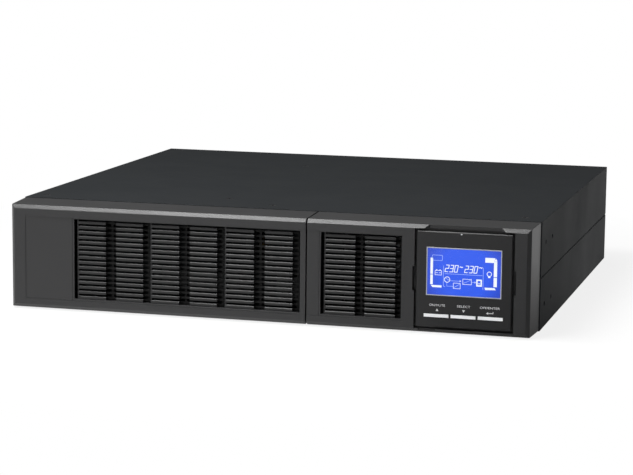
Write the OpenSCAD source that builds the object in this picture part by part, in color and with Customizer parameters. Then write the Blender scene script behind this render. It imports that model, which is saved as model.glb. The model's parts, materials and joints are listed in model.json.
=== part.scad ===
// Rack and tower uninterruptible power supply, two rack units high.
// The case lies flat: +X is to the right of the front, -Y is the front and +Z is up.
// The origin is under the middle of the case, on the surface that it rests on.

/* [Case] */
// Width of the steel case
case_w = 438; // [436:1:440]
// Height of the steel case
case_h = 88; // [87.5:0.1:88.5]
// Depth of the steel case behind the moulded front
case_d = 374; // [372:1:400]
// Thickness of the steel sheet
sheet = 1.2; // [1:0.1:1.3]
// Height of the seam between the lower case and the top cover
side_seam = 42.6; // [41:0.1:45]
// Distance between the rack ear holes along the case
ear_pitch_y = 32.6; // [30:0.1:34]
// Distance between the rack ear holes up the case
ear_pitch_z = 50; // [48:0.5:52]
// Radius of the rack ear holes
ear_hole_r = 2; // [1.6:0.1:2.5]

/* [Moulded front] */
// Depth of the moulded front
bezel_d = 36; // [36:0.5:38]
// Wall of the mouldings
bezel_wall = 2.4; // [2.2:0.1:2.6]
// Place of the seam between the battery cover and the control bezel
seam_x = 36.2; // [36:0.1:36.4]
// Width of that seam
seam_gap = 1.2; // [0.8:0.1:1.3]
// Bevel along the front edges
bevel = 3; // [2.6:0.1:3.2]
// Depth of the shallow band that holds the louvres
band_depth = 0.5; // [0.3:0.1:0.7]

/* [Louvres] */
// Number of louvre rows
slat_rows = 16; // [14:1:16]
// Distance from one row to the next
slat_pitch = 4.14; // [4.0:0.02:4.16]
// Height of a louvre
slat_h = 2.5; // [2.2:0.1:2.8]
// Distance from one louvre panel to the next
panel_pitch = 63.2; // [63.1:0.1:63.4]

/* [Display] */
// Side of the square pocket in the bezel
pocket = 79.6; // [79.4:0.1:79.8]
// Side of the square display face
face_side = 76.4; // [76:0.1:76.5]
// Thickness of the display face
face_t = 1.7; // [1.6:0.1:1.8]
// Radius of the round housing behind the face
drum_r = 37.2; // [36.8:0.1:37.3]
// Length of the round housing
drum_d = 22; // [20:1:24]
// How far the buttons stand out of the display face
button_proud = 0.4; // [0.2:0.1:0.6]

/* [Battery pack] */
// Length of one lead acid block
block_l = 151; // [149:0.5:152]
// Width of one block as it lies
block_w = 94; // [93:0.5:95]
// Height of one block as it lies
block_h = 65; // [64:0.5:66]

/* [Rear] */
// How far the reset button stands out of the rear panel
rear_proud = 8; // [7:0.5:9]
// Side of the square fan
fan_side = 80; // [78:1:80]
// Number of fan blades
fan_blades = 7; // [5:1:9]

/* [Hidden] */
$fn = 48;

// depth of everything, from the buttons to the reset button
total_d = button_proud + bezel_d + case_d + rear_proud;
face_y = button_proud - total_d / 2;
case_y = face_y + bezel_d;
back_y = case_y + case_d;
half_w = case_w / 2;
skin = "#34373a";
plastic = "#303234";
steel = "#b8bcc0";
brass = "#c9a24a";
board_green = "#1f5a38";
copper = "#a8652f";

// outline of the mouldings: they are a little smaller than the case and taper to the front
bezel_top = case_h - 1.5;
bezel_top_rear = case_h - 0.5;
bezel_bottom = 0.9;
bezel_bottom_rear = 0.5;
bezel_side = half_w - 2.3;
bezel_side_rear = half_w - 0.7;
bezel_rear = case_y - 0.3;
inner_bevel = bevel - bezel_wall * 0.586;

// the louvre openings and the shallow band round them
band_left = -204;
band_right = 115.8;
name_line = -163;
band_z0 = 8.7;
band_z1 = 77.6;
vent_z0 = 10.4;
vent_z1 = 76.6;
vent_left = -161.1;
vent_right = 31;
control_vent_left = 48.2;
control_groove = 46.6;
control_vent_right = 114;
first_panel = -158.3;
control_panel = 51;
panel_w = 61.2;
control_panel_w = 62.8;
slat_z0 = 11.95;
slat_front = band_depth + 0.5;
slat_depth = 4.2;
louvre_back = 8;
columns = [[1, 24.4], [33.6, 56.6]];
control_columns = [[1, 25.2], [33.4, 58]];

// display
dial_x = 164.3;
dial_z = 43.7;
drum_gap = 0.7;
pocket_depth = face_t + 0.15;
channel_depth = 4.6;
scoop_half = 32.6;
scoop_slant = 4.4;
scoop_d = 3.6;
light_x = dial_x - 2.6;
light_z = dial_z + face_side / 2 - 1.6;
light_r = 0.6;
window_x = 164.2;
window_z = 50.1;
window_w = 58.8;
window_h = 37.2;
button_w = 19.8;
button_h = 2.5;
button_z = 14.9;
button_pitch = 21.6;
button_cap = 0.5;
button_depth = 5;
stem_half = 2;

// battery bay
bay_left = -213;
bay_right = 31.5;
bay_d = 262;
bay_top = case_h - 9;
clip_z = case_h - 5.7;
tray_floor = sheet + 0.6;
block_z = tray_floor + sheet + 0.2;
block_gap = 4;

// rear panel places, with X seen from the front
fan_x = 171;
fan_z = case_h / 2;
fan_depth = 25;
inlet_x = 109;
inlet_z = 27;
breaker_z = 64;
bank_x = 30;
socket_pitch_x = 30;
socket_pitch_z = 33;
jack_x = -184;
jack_z = 19;
usb_x = -154;
serial_x = -122;
epo_x = -92;
port_seam = -101;
slot_x = -156;
slot_z = 61;
battery_socket_x = -62;
battery_socket_z = 30;
ground_x = -62;
ground_z = 62;

// ear holes
ear_y = case_y + 21;
ear_z = 19;

// block between two corners
module span(a, b) {
    translate(a) cube(b - a);
}

// outline in X and Z, drawn through the depth from y0 to y1
module through_y(y0, y1) {
    translate([0, y1, 0]) rotate([90, 0, 0]) linear_extrude(y1 - y0) children();
}

// outline in Y and Z, drawn across from x0 to x1
module across_x(x0, x1) {
    translate([x0, 0, 0]) rotate([90, 0, 90]) linear_extrude(x1 - x0) children();
}

// round bar along Y
module rod_y(x, z, r, y0, y1) {
    translate([x, y0, z]) rotate([-90, 0, 0]) cylinder(r = r, h = y1 - y0);
}

// round bar along X
module rod_x(y, z, r, x0, x1) {
    translate([x0, y, z]) rotate([0, 90, 0]) cylinder(r = r, h = x1 - x0);
}

// solid outline of one moulding, inset by o, with bevels of size c
module moulding(seam, s, o, c, rear) {
    intersection() {
        across_x(-half_w, half_w)
            polygon([[face_y + o, bezel_bottom + o + c], [face_y + o, bezel_top - o - c],
                [face_y + o + c, bezel_top - o], [rear, bezel_top_rear - o],
                [rear, bezel_bottom_rear + o], [face_y + o + c, bezel_bottom + o]]);
        linear_extrude(case_h)
            polygon([[seam, face_y + o], [s * (bezel_side - o - c), face_y + o],
                [s * (bezel_side - o), face_y + o + c], [s * (bezel_side_rear - o), rear],
                [seam, rear]]);
    }
}

// hollow moulding, open at the rear
module moulding_shell(seam, s) {
    difference() {
        moulding(seam, s, 0, bevel, bezel_rear);
        moulding(seam + s * bezel_wall, s, bezel_wall, inner_bevel, case_y + 1);
    }
}

// one louvre panel: two columns of bevelled slats in front of a recessed lattice
module louvre_panel(x, w, cols) {
    front = face_y + slat_front;
    deep = face_y + slat_front + slat_depth;
    back = face_y + louvre_back;
    tip = 0.5;
    rail = 2.6;
    behind_wall = face_y + bezel_wall + 0.1;
    translate([x, 0, 0]) {
        span([0, front, vent_z0 + 0.1], [0.8, back, vent_z1 - 0.1]);
        for (rib = [[0, 1.2], [cols[0][1] + 3.2, cols[0][1] + 5.2], [w - 2, w]])
            span([rib[0], back - 2.2, vent_z0 - rail], [rib[1], back, vent_z1 + rail]);
        for (z = [vent_z0 - rail, vent_z1 + 0.1])
            span([0, behind_wall, z], [w, back, z + rail - 0.1]);
        for (row = [0 : slat_rows - 1]) {
            z = slat_z0 + row * slat_pitch;
            for (col = cols)
                across_x(col[0] - (col[0] < 2 ? 0.3 : 0), col[1])
                    polygon([[front, z - slat_h / 2 + 0.2], [front + 0.2, z - slat_h / 2],
                        [deep, z - slat_h / 2 + 0.3], [deep, z + slat_h / 2 - 0.3],
                        [front + tip, z + slat_h / 2], [front, z + slat_h / 2 - tip]]);
            span([0.5, deep - 0.2, z - 0.8], [w - 0.2, back - 1, z + 0.8]);
        }
    }
}

// pan head screw along Y, head at the rear
module rear_screw(x, z, r, h) {
    rod_y(x, z, r * 0.5, back_y - 4, back_y);
    difference() {
        rod_y(x, z, r, back_y, back_y + h);
        for (a = [0, 90])
            translate([x, back_y + h, z]) rotate([0, a, 0])
                cube([r * 1.3, h, 0.7], center = true);
    }
}

floor_slot_x = 70;
floor_slot_pitch = 15;
floor_slot_w = 4;
floor_slot_d = 40;

module bottom_chassis() {
    lip = 12;
    color(skin) difference() {
        union() {
            span([-half_w, case_y, 0], [half_w, back_y, sheet]);
            for (s = [-1, 1]) {
                x = s > 0 ? half_w - sheet : -half_w;
                span([x, case_y, 0], [x + sheet, back_y, side_seam - 0.3]);
                // inner lip that the top cover lies over
                xi = s > 0 ? half_w - 2 * sheet - 0.1 : -half_w + sheet + 0.1;
                span([xi, case_y + 4, side_seam - 6], [xi + sheet, back_y - 4, side_seam + lip]);
                span([min(xi, x), case_y + 4, side_seam - 6],
                    [max(xi, x) + sheet, back_y - 4, side_seam - 4]);
            }
        }
        for (i = [0, 1])
            rod_x(ear_y + i * ear_pitch_y, ear_z, ear_hole_r, -half_w - 1, half_w + 1);
        // cable and air slots in the floor, under the electronics
        for (i = [0 : 7])
            translate([floor_slot_x + i * floor_slot_pitch, case_y + 50, 0])
                span([0, 0, -1], [floor_slot_w, floor_slot_d, sheet + 1]);
    }
}

module top_cover() {
    color(skin) difference() {
        union() {
            span([-half_w, case_y, case_h - sheet], [half_w, back_y, case_h]);
            for (x = [-half_w, half_w - sheet])
                span([x, case_y, side_seam + 0.3], [x + sheet, back_y, case_h]);
        }
        for (i = [0, 1])
            rod_x(ear_y + i * ear_pitch_y, ear_z + ear_pitch_z, ear_hole_r, -half_w - 1, half_w + 1);
        for (p = top_screws)
            translate([p[0], p[1], case_h - sheet - 1]) cylinder(r = 3.2, h = sheet + 2);
    }
}

// places of the countersunk screws in the lid
top_screws = [[-52.9, case_y + 44], [-52.9, case_y + 281], [-7.9, case_y + 19],
    [202, case_y + 19], [-205, case_y + 16], [205, back_y - 10], [-205, back_y - 10],
    [0, back_y - 10]];

plate_row_z = 14;
plate_row_pitch = 6;

module front_plate() {
    y1 = case_y + sheet;
    color(skin) difference() {
        span([-half_w + 2.8, case_y, sheet + 0.1], [half_w - 2.8, y1, case_h - sheet - 0.1]);
        span([bay_left - 0.8, case_y - 1, 0], [bay_right + 0.8, y1 + 1, bay_top]);
        rod_y(dial_x, dial_z, 28, case_y - 1, y1 + 1);
        for (row = [0 : 9])
            translate([0, 0, plate_row_z + row * plate_row_pitch])
                span([control_vent_left + 10, case_y - 1, 0],
                    [control_vent_right, y1 + 1, plate_row_pitch / 2]);
        for (p = clip_places)
            span([p[0] - 4.2, case_y - 1, p[1] - 1.7], [p[0] + 4.2, y1 + 1, p[1] + 1.7]);
    }
}

// slots in the front plate for the clips of the battery cover and the control bezel
clip_places = [[-150, clip_z], [0, clip_z]];

module rear_panel() {
    y0 = back_y - sheet;
    color(skin) difference() {
        span([port_seam + 0.2, y0, sheet + 0.1], [half_w - 2.8, back_y, case_h - sheet - 0.1]);
        rod_y(fan_x, fan_z, fan_side / 2 - 2, y0 - 1, back_y + 1);
        for (sx = [-1, 1])
            for (sz = [-1, 1])
                rod_y(fan_x + sx * fan_hole, fan_z + sz * fan_hole, 2.2, y0 - 1, back_y + 1);
        span([inlet_x - 13.6, y0 - 1, inlet_z - 10.2], [inlet_x + 13.6, back_y + 1, inlet_z + 10.2]);
        rod_y(inlet_x, breaker_z, 6.2, y0 - 1, back_y + 1);
        span([bank_x - 60, y0 - 1, case_h / 2 - 31], [bank_x + 60, back_y + 1, case_h / 2 + 31]);
        span([epo_x - 6.2, y0 - 1, jack_z - 5.4], [epo_x + 6.2, back_y + 1, jack_z + 5.4]);
        span([battery_socket_x - 17.2, y0 - 1, battery_socket_z - 8.2],
            [battery_socket_x + 17.2, back_y + 1, battery_socket_z + 8.2]);
        rod_y(ground_x, ground_z, 2.6, y0 - 1, back_y + 1);
        for (p = panel_screw_places)
            rod_y(p[0], p[1], 2.2, y0 - 1, back_y + 1);
    }
}

// rear sheet on the left, with the data ports and the card slot
module port_panel() {
    y0 = back_y - sheet;
    color(skin) difference() {
        span([-half_w + 2.8, y0, sheet + 0.1], [port_seam - 0.2, back_y, case_h - sheet - 0.1]);
        span([jack_x - 16.3, y0 - 1, jack_z - 7.2], [jack_x + 16.3, back_y + 1, jack_z + 7.2]);
        span([usb_x - 6.3, y0 - 1, jack_z - 5.8], [usb_x + 6.3, back_y + 1, jack_z + 5.8]);
        span([serial_x - 9.6, y0 - 1, jack_z - 5.2], [serial_x + 9.6, back_y + 1, jack_z + 5.2]);
        span([slot_x - 46, y0 - 1, slot_z - 15], [slot_x + 46, back_y + 1, slot_z + 15]);
        for (p = concat(port_screw_places, thumb_places))
            rod_y(p[0], p[1], 2.2, y0 - 1, back_y + 1);
    }
}

fan_hole = fan_side / 2 - 4.25;
panel_screw_places = [[-95, 82], [-95, 6], [100, 82.5], [100, 5.5], [-38, 82], [-38, 6]];
port_screw_places = [[-212, 8], [-212, 83.2], [-106.5, 6], [-106.5, 82.6]];
thumb_places = [[slot_x - 50.5, slot_z], [slot_x + 50.5, slot_z]];

// wall that parts the battery bay from the electronics, and closes it behind
module bay_wall() {
    z0 = sheet + 0.1;
    z1 = case_h - sheet - 0.1;
    wall_x = bay_right + 5;
    wall_y = case_y + bay_d + 8;
    color(steel) union() {
        span([wall_x, case_y + sheet + 0.1, z0], [wall_x + sheet, wall_y + sheet, z1]);
        span([-half_w + 2.8, wall_y, z0], [wall_x + sheet, wall_y + sheet, z1]);
        span([wall_x, case_y + 20, z0], [wall_x + 10, wall_y - 20, z0 + sheet]);
    }
}

module right_bezel() {
    seam = seam_x + seam_gap / 2;
    half = pocket / 2;
    collar_d = 6;
    color(plastic) difference() {
        union() {
            moulding_shell(seam, 1);
            intersection() {
                moulding(seam, 1, 0, bevel, bezel_rear);
                span([dial_x - half - 4, face_y, 0], [dial_x + half + 4, face_y + collar_d, case_h]);
            }
            rod_y(dial_x, dial_z, drum_r + drum_gap + 2, face_y + collar_d - 1, face_y + 16);
            // bosses for the bezel screws
            for (x = [seam + 8, bezel_side - 10])
                rod_y(x, 8.5, 3.5, face_y + bezel_wall - 0.5, bezel_rear);
        }
        span([seam - 1, face_y - 1, band_z0], [band_right, face_y + band_depth, band_z1]);
        span([control_groove, face_y - 1, band_z0],
            [control_groove + 0.4, face_y + band_depth + 0.4, band_z1]);
        span([control_vent_left, face_y - 1, vent_z0],
            [control_vent_right, face_y + bezel_wall + 1, vent_z1]);
        span([dial_x - half, face_y - 1, dial_z - half],
            [dial_x + half, face_y + pocket_depth, dial_z + half]);
        rod_y(dial_x, dial_z, drum_r + drum_gap, face_y - 1, face_y + 20);
        // finger notches beside the display
        span([dial_x - half - 1.4, face_y - 1, dial_z - 9.7],
            [dial_x + half + 1.4, face_y + 4, dial_z + 9.7]);
        // deeper channel round the display face
        difference() {
            span([dial_x - half, face_y - 1, dial_z - half],
                [dial_x + half, face_y + channel_depth, dial_z + half]);
            span([dial_x - face_side / 2 + 0.6, face_y - 2, dial_z - face_side / 2 + 0.6],
                [dial_x + face_side / 2 - 0.6, face_y + collar_d, dial_z + face_side / 2 - 0.6]);
        }
        // finger scoop in the bevel above the display, with slanted ends
        translate([dial_x, face_y, dial_z + half - 0.1]) linear_extrude(case_h)
            polygon([[-scoop_half, -1], [scoop_half, -1], [scoop_half, 0],
                [scoop_half - scoop_slant, scoop_d], [scoop_slant - scoop_half, scoop_d],
                [-scoop_half, 0]]);
        // slot for a flat blade under the display
        span([dial_x - 36.6, face_y - 1, dial_z - half - 1.3],
            [dial_x - 22.4, face_y + 2.2, dial_z - half + 1]);
        for (x = [seam + 8, bezel_side - 10])
            rod_y(x, 8.5, 1.3, bezel_rear - 10, bezel_rear + 1);
    }
}

module right_grille() {
    color(plastic) louvre_panel(control_panel, control_panel_w, control_columns);
}

module cover_screws() {
    color("#2c2e30") for (p = top_screws)
        translate([p[0], p[1], case_h - sheet]) {
            translate([0, 0, -3]) cylinder(r = 1.6, h = 3.2);
            difference() {
                cylinder(r = 3, h = sheet - 0.1);
                for (a = [0, 90])
                    translate([0, 0, sheet]) rotate([0, 0, a])
                        cube([3.8, 0.8, 1.2], center = true);
            }
        }
}

// clinch nuts behind the rack ear holes
module ear_nuts() {
    color(steel) for (s = [-1, 1])
        for (i = [0, 1])
            for (j = [0, 1]) {
                x0 = s > 0 ? half_w - sheet - 4 : -half_w + sheet;
                difference() {
                    rod_x(ear_y + i * ear_pitch_y, ear_z + j * ear_pitch_z, 4.2, x0, x0 + 4);
                    rod_x(ear_y + i * ear_pitch_y, ear_z + j * ear_pitch_z, ear_hole_r,
                        x0 - 1, x0 + 5);
                }
            }
}

fan_back = back_y - sheet;
fan_front = fan_back - fan_depth;

module fan_frame() {
    half = fan_side / 2;
    color("#1c1c1e") difference() {
        union() {
            difference() {
                union() {
                    for (y = [fan_front, fan_back - 4])
                        span([fan_x - half, y, fan_z - half], [fan_x + half, y + 4, fan_z + half]);
                    rod_y(fan_x, fan_z, half - 0.2, fan_front, fan_back);
                }
                rod_y(fan_x, fan_z, half - 2, fan_front - 1, fan_back + 1);
            }
            rod_y(fan_x, fan_z, 16, fan_back - 4, fan_back - 0.2);
            rod_y(fan_x, fan_z, 4, fan_back - 12, fan_back - 1);
            for (a = [20 : 90 : 290])
                translate([fan_x, 0, fan_z]) rotate([0, a, 0])
                    span([10, fan_back - 4, -2], [half - 1, fan_back - 0.5, 2]);
        }
        rod_y(fan_x, fan_z, 1.55, fan_front, fan_back - 3);
        for (sx = [-1, 1])
            for (sz = [-1, 1])
                rod_y(fan_x + sx * fan_hole, fan_z + sz * fan_hole, 2.15,
                    fan_front - 1, fan_back + 1);
    }
}

module fan_rotor() {
    hub_r = 17;
    tip_r = fan_side / 2 - 2.8;
    color("#242426") union() {
        difference() {
            rod_y(fan_x, fan_z, hub_r, fan_front + 2, fan_back - 5);
            rod_y(fan_x, fan_z, hub_r - 2, fan_front + 4, fan_back - 4);
        }
        rod_y(fan_x, fan_z, 1.5, fan_front + 3, fan_back - 3.6);
        intersection() {
            for (i = [0 : fan_blades - 1])
                translate([fan_x, (fan_front + fan_back) / 2 - 1.5, fan_z])
                    rotate([0, i * 360 / fan_blades, 0]) rotate([38, 0, 0])
                        translate([hub_r - 1.5, -0.8, -12]) cube([tip_r, 1.6, 24]);
            difference() {
                rod_y(fan_x, fan_z, tip_r, fan_front + 2.5, fan_back - 5.5);
                rod_y(fan_x, fan_z, hub_r - 1, fan_front, fan_back);
            }
        }
    }
}

module fan_guard() {
    wire = 1;
    reach = fan_hole * 1.414 - 3;
    color(steel) union() {
        for (r = [10 : 8 : 34])
            difference() {
                rod_y(fan_x, fan_z, r + wire, back_y + 1.4, back_y + 3.4);
                rod_y(fan_x, fan_z, r - wire, back_y + 1, back_y + 4);
            }
        for (a = [45, 135])
            translate([fan_x, 0, fan_z]) rotate([0, a, 0])
                span([-reach, back_y, -0.9], [reach, back_y + 1.8, 0.9]);
        for (sx = [-1, 1])
            for (sz = [-1, 1])
                difference() {
                    rod_y(fan_x + sx * fan_hole, fan_z + sz * fan_hole, 4.2, back_y, back_y + 1.9);
                    rod_y(fan_x + sx * fan_hole, fan_z + sz * fan_hole, 2.2, back_y - 1, back_y + 3);
                }
    }
}

module fan_screws() {
    color("#222426") for (sx = [-1, 1])
        for (sz = [-1, 1])
            translate([fan_x + sx * fan_hole, 0, fan_z + sz * fan_hole]) {
                rod_y(0, 0, 2, fan_front + 2, back_y + 1.9);
                difference() {
                    rod_y(0, 0, 3.8, back_y + 1.9, back_y + 4.3);
                    for (a = [0, 90])
                        translate([0, back_y + 4.3, 0]) rotate([0, a, 0])
                            cube([4.4, 2, 0.9], center = true);
                }
            }
}

// electronics bay, to the right of the battery bay
board_x0 = bay_right + 16;
board_x1 = half_w - 8;
board_y0 = case_y + 46;
board_y1 = fan_front - 6;
board_z = 6;
board_t = 1.6;
board_top = board_z + board_t;
mid_x = (board_x0 + board_x1) / 2;

module power_board() {
    color(board_green) difference() {
        span([board_x0, board_y0, board_z], [board_x1, board_y1, board_top]);
        for (p = standoff_places)
            translate([p[0], p[1], 0]) cylinder(r = 1.6, h = 20);
    }
}

standoff_places = [for (x = [board_x0 + 5, board_x1 - 5])
    for (y = [board_y0 + 6, (board_y0 + board_y1) / 2, board_y1 - 6]) [x, y]];

module board_standoffs() {
    color(brass) for (p = standoff_places)
        translate([p[0], p[1], sheet]) cylinder(r = 3, h = board_z - sheet, $fn = 6);
}

module heatsinks() {
    fins = 9;
    fin_pitch = 6.4;
    fin_t = 1.6;
    sink_y0 = board_y0 + 20;
    sink_d = 150;
    color("#9a9ea2") for (s = [-1, 1])
        translate([mid_x + s * 42, 0, board_top]) union() {
            span([-2, sink_y0, 0], [2, sink_y0 + sink_d, 56]);
            for (i = [0 : fins - 1])
                translate([0, sink_y0, 2 + i * fin_pitch])
                    span([s > 0 ? -16 : 2, 0, 0], [s > 0 ? -2 : 16, sink_d, fin_t]);
        }
}

module power_transistors() {
    color("#202022") for (s = [-1, 1])
        for (i = [0 : 5])
            translate([mid_x + s * 46.6, board_y0 + 34 + i * 24, board_top])
                union() {
                    translate([-2.5, -7.8, 12]) cube([5, 15.6, 20]);
                    for (k = [-1 : 1])
                        translate([-0.4, k * 5 - 0.6, 0]) cube([0.8, 1.2, 12.5]);
                }
}

module bus_capacitors() {
    color("#1d2a4a") for (i = [0 : 2])
        for (j = [0 : 1])
            translate([mid_x - 14 + j * 28, board_y0 + 190 + i * 28, board_top])
                cylinder(r = 12.5, h = 46);
}

module inductors() {
    color(copper) for (i = [0, 1])
        translate([mid_x, board_y0 + 42 + i * 46, board_top + 14]) rotate_extrude()
            translate([13.4, 0]) circle(r = 6.8);
}

module transformer() {
    y = board_y0 + 140;
    color("#3a3632") union() {
        span([mid_x - 22, y - 20, board_top], [mid_x + 22, y - 12, board_top + 42]);
        span([mid_x - 22, y + 12, board_top], [mid_x + 22, y + 20, board_top + 42]);
        span([mid_x - 22, y - 12, board_top + 4], [mid_x + 22, y + 12, board_top + 10]);
        span([mid_x - 22, y - 12, board_top + 34], [mid_x + 22, y + 12, board_top + 42]);
        translate([mid_x, y, board_top + 10]) cylinder(r = 11.5, h = 24);
    }
}

module relays() {
    color("#2a2c2e") for (i = [0 : 3])
        span([board_x0 + 6, board_y0 + 186 + i * 22, board_top],
            [board_x0 + 26, board_y0 + 202 + i * 22, board_top + 20]);
}

module control_board() {
    x = board_x1 - 16;
    y0 = board_y0 + 186;
    color("#24503a") union() {
        span([x, y0, board_top], [x + board_t, y0 + 92, board_top + 60]);
        for (i = [0 : 2])
            span([x - 2.4, y0 + 10 + i * 28, board_top + 20],
                [x, y0 + 28 + i * 28, board_top + 36]);
    }
}

module filter_choke() {
    color(copper) translate([-20, back_y - 62, sheet + 15]) rotate([0, 90, 0])
        rotate_extrude() translate([9.5, 0]) circle(r = 4.8);
}

// outline of an appliance coupler: a rectangle with two cut corners
module coupler_outline(w, h, c) {
    polygon([[-w / 2, -h / 2], [w / 2, -h / 2], [w / 2, h / 2 - c], [w / 2 - c, h / 2],
        [-w / 2 + c, h / 2], [-w / 2, h / 2 - c]]);
}

// places of the three contacts of a coupler: two below, earth above
contacts = [[-7, -2], [7, -2], [0, 2.2]];

module ac_inlet() {
    color("#161618") translate([inlet_x, 0, inlet_z]) difference() {
        union() {
            through_y(back_y, back_y + 2.2) coupler_outline(30, 23.4, 2);
            through_y(back_y - 20, back_y) coupler_outline(26.8, 20, 4);
        }
        through_y(back_y - 16, back_y + 3) coupler_outline(24.2, 17.2, 4.2);
        for (c = contacts)
            span([c[0] - 1.05, back_y - 22, c[1] - 2.05], [c[0] + 1.05, back_y - 15, c[1] + 2.05]);
    }
}

module inlet_pins() {
    color(steel) for (c = contacts)
        span([inlet_x + c[0] - 1, back_y - 26, inlet_z + c[1] - 2],
            [inlet_x + c[0] + 1, back_y - 1.5, inlet_z + c[1] + 2]);
}

module outlet_bank() {
    color("#161618") difference() {
        union() {
            span([bank_x - 63, back_y, case_h / 2 - 34],
                [bank_x + 63, back_y + 2.2, case_h / 2 + 34]);
            span([bank_x - 59.6, back_y - 18, case_h / 2 - 30.6],
                [bank_x + 59.6, back_y, case_h / 2 + 30.6]);
        }
        for (i = [0 : 3])
            for (j = [0, 1])
                translate([bank_x + (i - 1.5) * socket_pitch_x, 0,
                    case_h / 2 + (j - 0.5) * socket_pitch_z]) {
                    difference() {
                        through_y(back_y - 12, back_y + 3) coupler_outline(25.2, 18.2, 4.4);
                        through_y(back_y - 13, back_y + 0.4) coupler_outline(20, 13, 3.6);
                    }
                    for (c = contacts)
                        span([c[0] - 1.3, back_y - 15, c[1] * 0.9 - 2.2],
                            [c[0] + 1.3, back_y + 3, c[1] * 0.9 + 2.2]);
                }
    }
}

module breaker_body() {
    color("#18181a") difference() {
        union() {
            span([inlet_x - 8, back_y - 34, breaker_z - 12],
                [inlet_x + 8, back_y - sheet - 0.1, breaker_z + 12]);
            rod_y(inlet_x, breaker_z, 5.9, back_y - 2, back_y + 4);
        }
        rod_y(inlet_x, breaker_z, 3.7, back_y - 12, back_y + 5);
    }
}

module breaker_nut() {
    color("#1e1e20") difference() {
        translate([inlet_x, back_y, breaker_z]) rotate([-90, 0, 0]) cylinder(r = 8.6, h = 3, $fn = 6);
        rod_y(inlet_x, breaker_z, 5.95, back_y - 1, back_y + 4);
    }
}

module reset_button() {
    color("#101012") rod_y(inlet_x, breaker_z, 3.65, back_y - 9, back_y + rear_proud);
}

module network_jacks() {
    color("#202224") for (s = [-1, 1])
        translate([jack_x + s * 8.1, 0, jack_z]) difference() {
            span([-8, back_y - 17, -7], [8, back_y + 1, 7]);
            span([-5.9, back_y - 14, -3], [5.9, back_y + 2, 5]);
            span([-3.2, back_y - 9, -5.2], [3.2, back_y + 2, -2.9]);
        }
}

module usb_port() {
    color(steel) difference() {
        span([usb_x - 6, back_y - 16, jack_z - 5.5], [usb_x + 6, back_y + 1, jack_z + 5.5]);
        difference() {
            span([usb_x - 4.3, back_y - 12, jack_z - 4], [usb_x + 4.3, back_y + 2, jack_z + 4]);
            span([usb_x - 2.8, back_y - 13, jack_z - 1.6], [usb_x + 2.8, back_y - 1, jack_z + 1.6]);
        }
    }
}

// outline of the nine way plug, wider at the top
module d_outline(w, h) {
    polygon([[-w / 2 + 1.4, -h / 2], [w / 2 - 1.4, -h / 2], [w / 2, h / 2], [-w / 2, h / 2]]);
}

module serial_port() {
    color(steel) translate([serial_x, 0, jack_z]) {
        difference() {
            union() {
                span([-15.4, back_y, -6.2], [15.4, back_y + 1, 6.2]);
                through_y(back_y - 8, back_y + 6) d_outline(18, 9);
            }
            through_y(back_y - 6, back_y + 7) d_outline(16.4, 7.4);
        }
        for (i = [0 : 4])
            rod_y((i - 2) * 2.75, 1.4, 0.5, back_y - 7, back_y + 4);
        for (i = [0 : 3])
            rod_y((i - 1.5) * 2.75, -1.4, 0.5, back_y - 7, back_y + 4);
        for (s = [-1, 1])
            translate([s * 12.5, back_y + 1, 0]) rotate([-90, 0, 0]) difference() {
                cylinder(r = 2.7, h = 4.4, $fn = 6);
                translate([0, 0, 1]) cylinder(r = 1.4, h = 5);
            }
    }
}

module epo_socket() {
    color("#2f7d46") difference() {
        span([epo_x - 6, back_y - 10, jack_z - 5.2], [epo_x + 6, back_y + 1.6, jack_z + 5.2]);
        for (s = [-1, 1]) {
            span([epo_x + s * 2.8 - 1.6, back_y - 6, jack_z - 3.6],
                [epo_x + s * 2.8 + 1.6, back_y + 2, jack_z - 0.2]);
            rod_y(epo_x + s * 2.8, jack_z + 2.4, 1.4, back_y - 4, back_y + 2);
        }
    }
}

module slot_cover() {
    color(skin) difference() {
        union() {
            span([slot_x - 56, back_y, slot_z - 18], [slot_x + 56, back_y + sheet, slot_z + 18]);
            // pressed stiffening rib
            span([slot_x - 38, back_y + sheet, slot_z - 3],
                [slot_x + 38, back_y + sheet + 0.8, slot_z + 3]);
        }
        for (p = thumb_places)
            rod_y(p[0], p[1], 2, back_y - 1, back_y + sheet + 1);
    }
}

module thumb_screws() {
    y = back_y + sheet;
    color(steel) for (p = thumb_places)
        union() {
            rod_y(p[0], p[1], 1.9, back_y - 6, y);
            difference() {
                rod_y(p[0], p[1], 4.6, y, y + 5.4);
                for (a = [0 : 24 : 336])
                    translate([p[0], y + 1, p[1]]) rotate([0, a, 0]) translate([4.8, 0, 0])
                        rotate([-90, 0, 0]) cylinder(r = 0.5, h = 6, $fn = 12);
                translate([p[0], y + 5.4, p[1]]) cube([5.4, 2, 1], center = true);
            }
        }
}

module battery_socket() {
    color("#3c4046") translate([battery_socket_x, 0, battery_socket_z]) difference() {
        union() {
            span([-17, back_y - 26, -8], [17, back_y, 8]);
            span([-24, back_y, -9.6], [24, back_y + 3, 9.6]);
        }
        for (s = [-1, 1])
            difference() {
                span([s * 7.6 - 5.4, back_y - 20, -5.6], [s * 7.6 + 5.4, back_y + 4, 5.6]);
                span([s * 7.6 - 3, back_y - 21, -1.8], [s * 7.6 + 3, back_y - 1, 1.8]);
            }
        for (s = [-1, 1])
            rod_y(s * 20.6, 0, 1.7, back_y - 1, back_y + 4);
    }
}

module ground_screw() {
    color(brass) union() {
        rod_y(ground_x, ground_z, 5.4, back_y, back_y + 0.9);
        rod_y(ground_x, ground_z, 2.4, back_y - 8, back_y + 1);
        difference() {
            rod_y(ground_x, ground_z, 4.4, back_y + 0.9, back_y + 4);
            for (a = [0, 90])
                translate([ground_x, back_y + 4, ground_z]) rotate([0, a, 0])
                    cube([5.2, 2.4, 1], center = true);
        }
    }
}

module panel_screws() {
    color("#222426") for (p = concat(panel_screw_places, port_screw_places))
        rear_screw(p[0], p[1], 3.2, 1.8);
}

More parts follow.
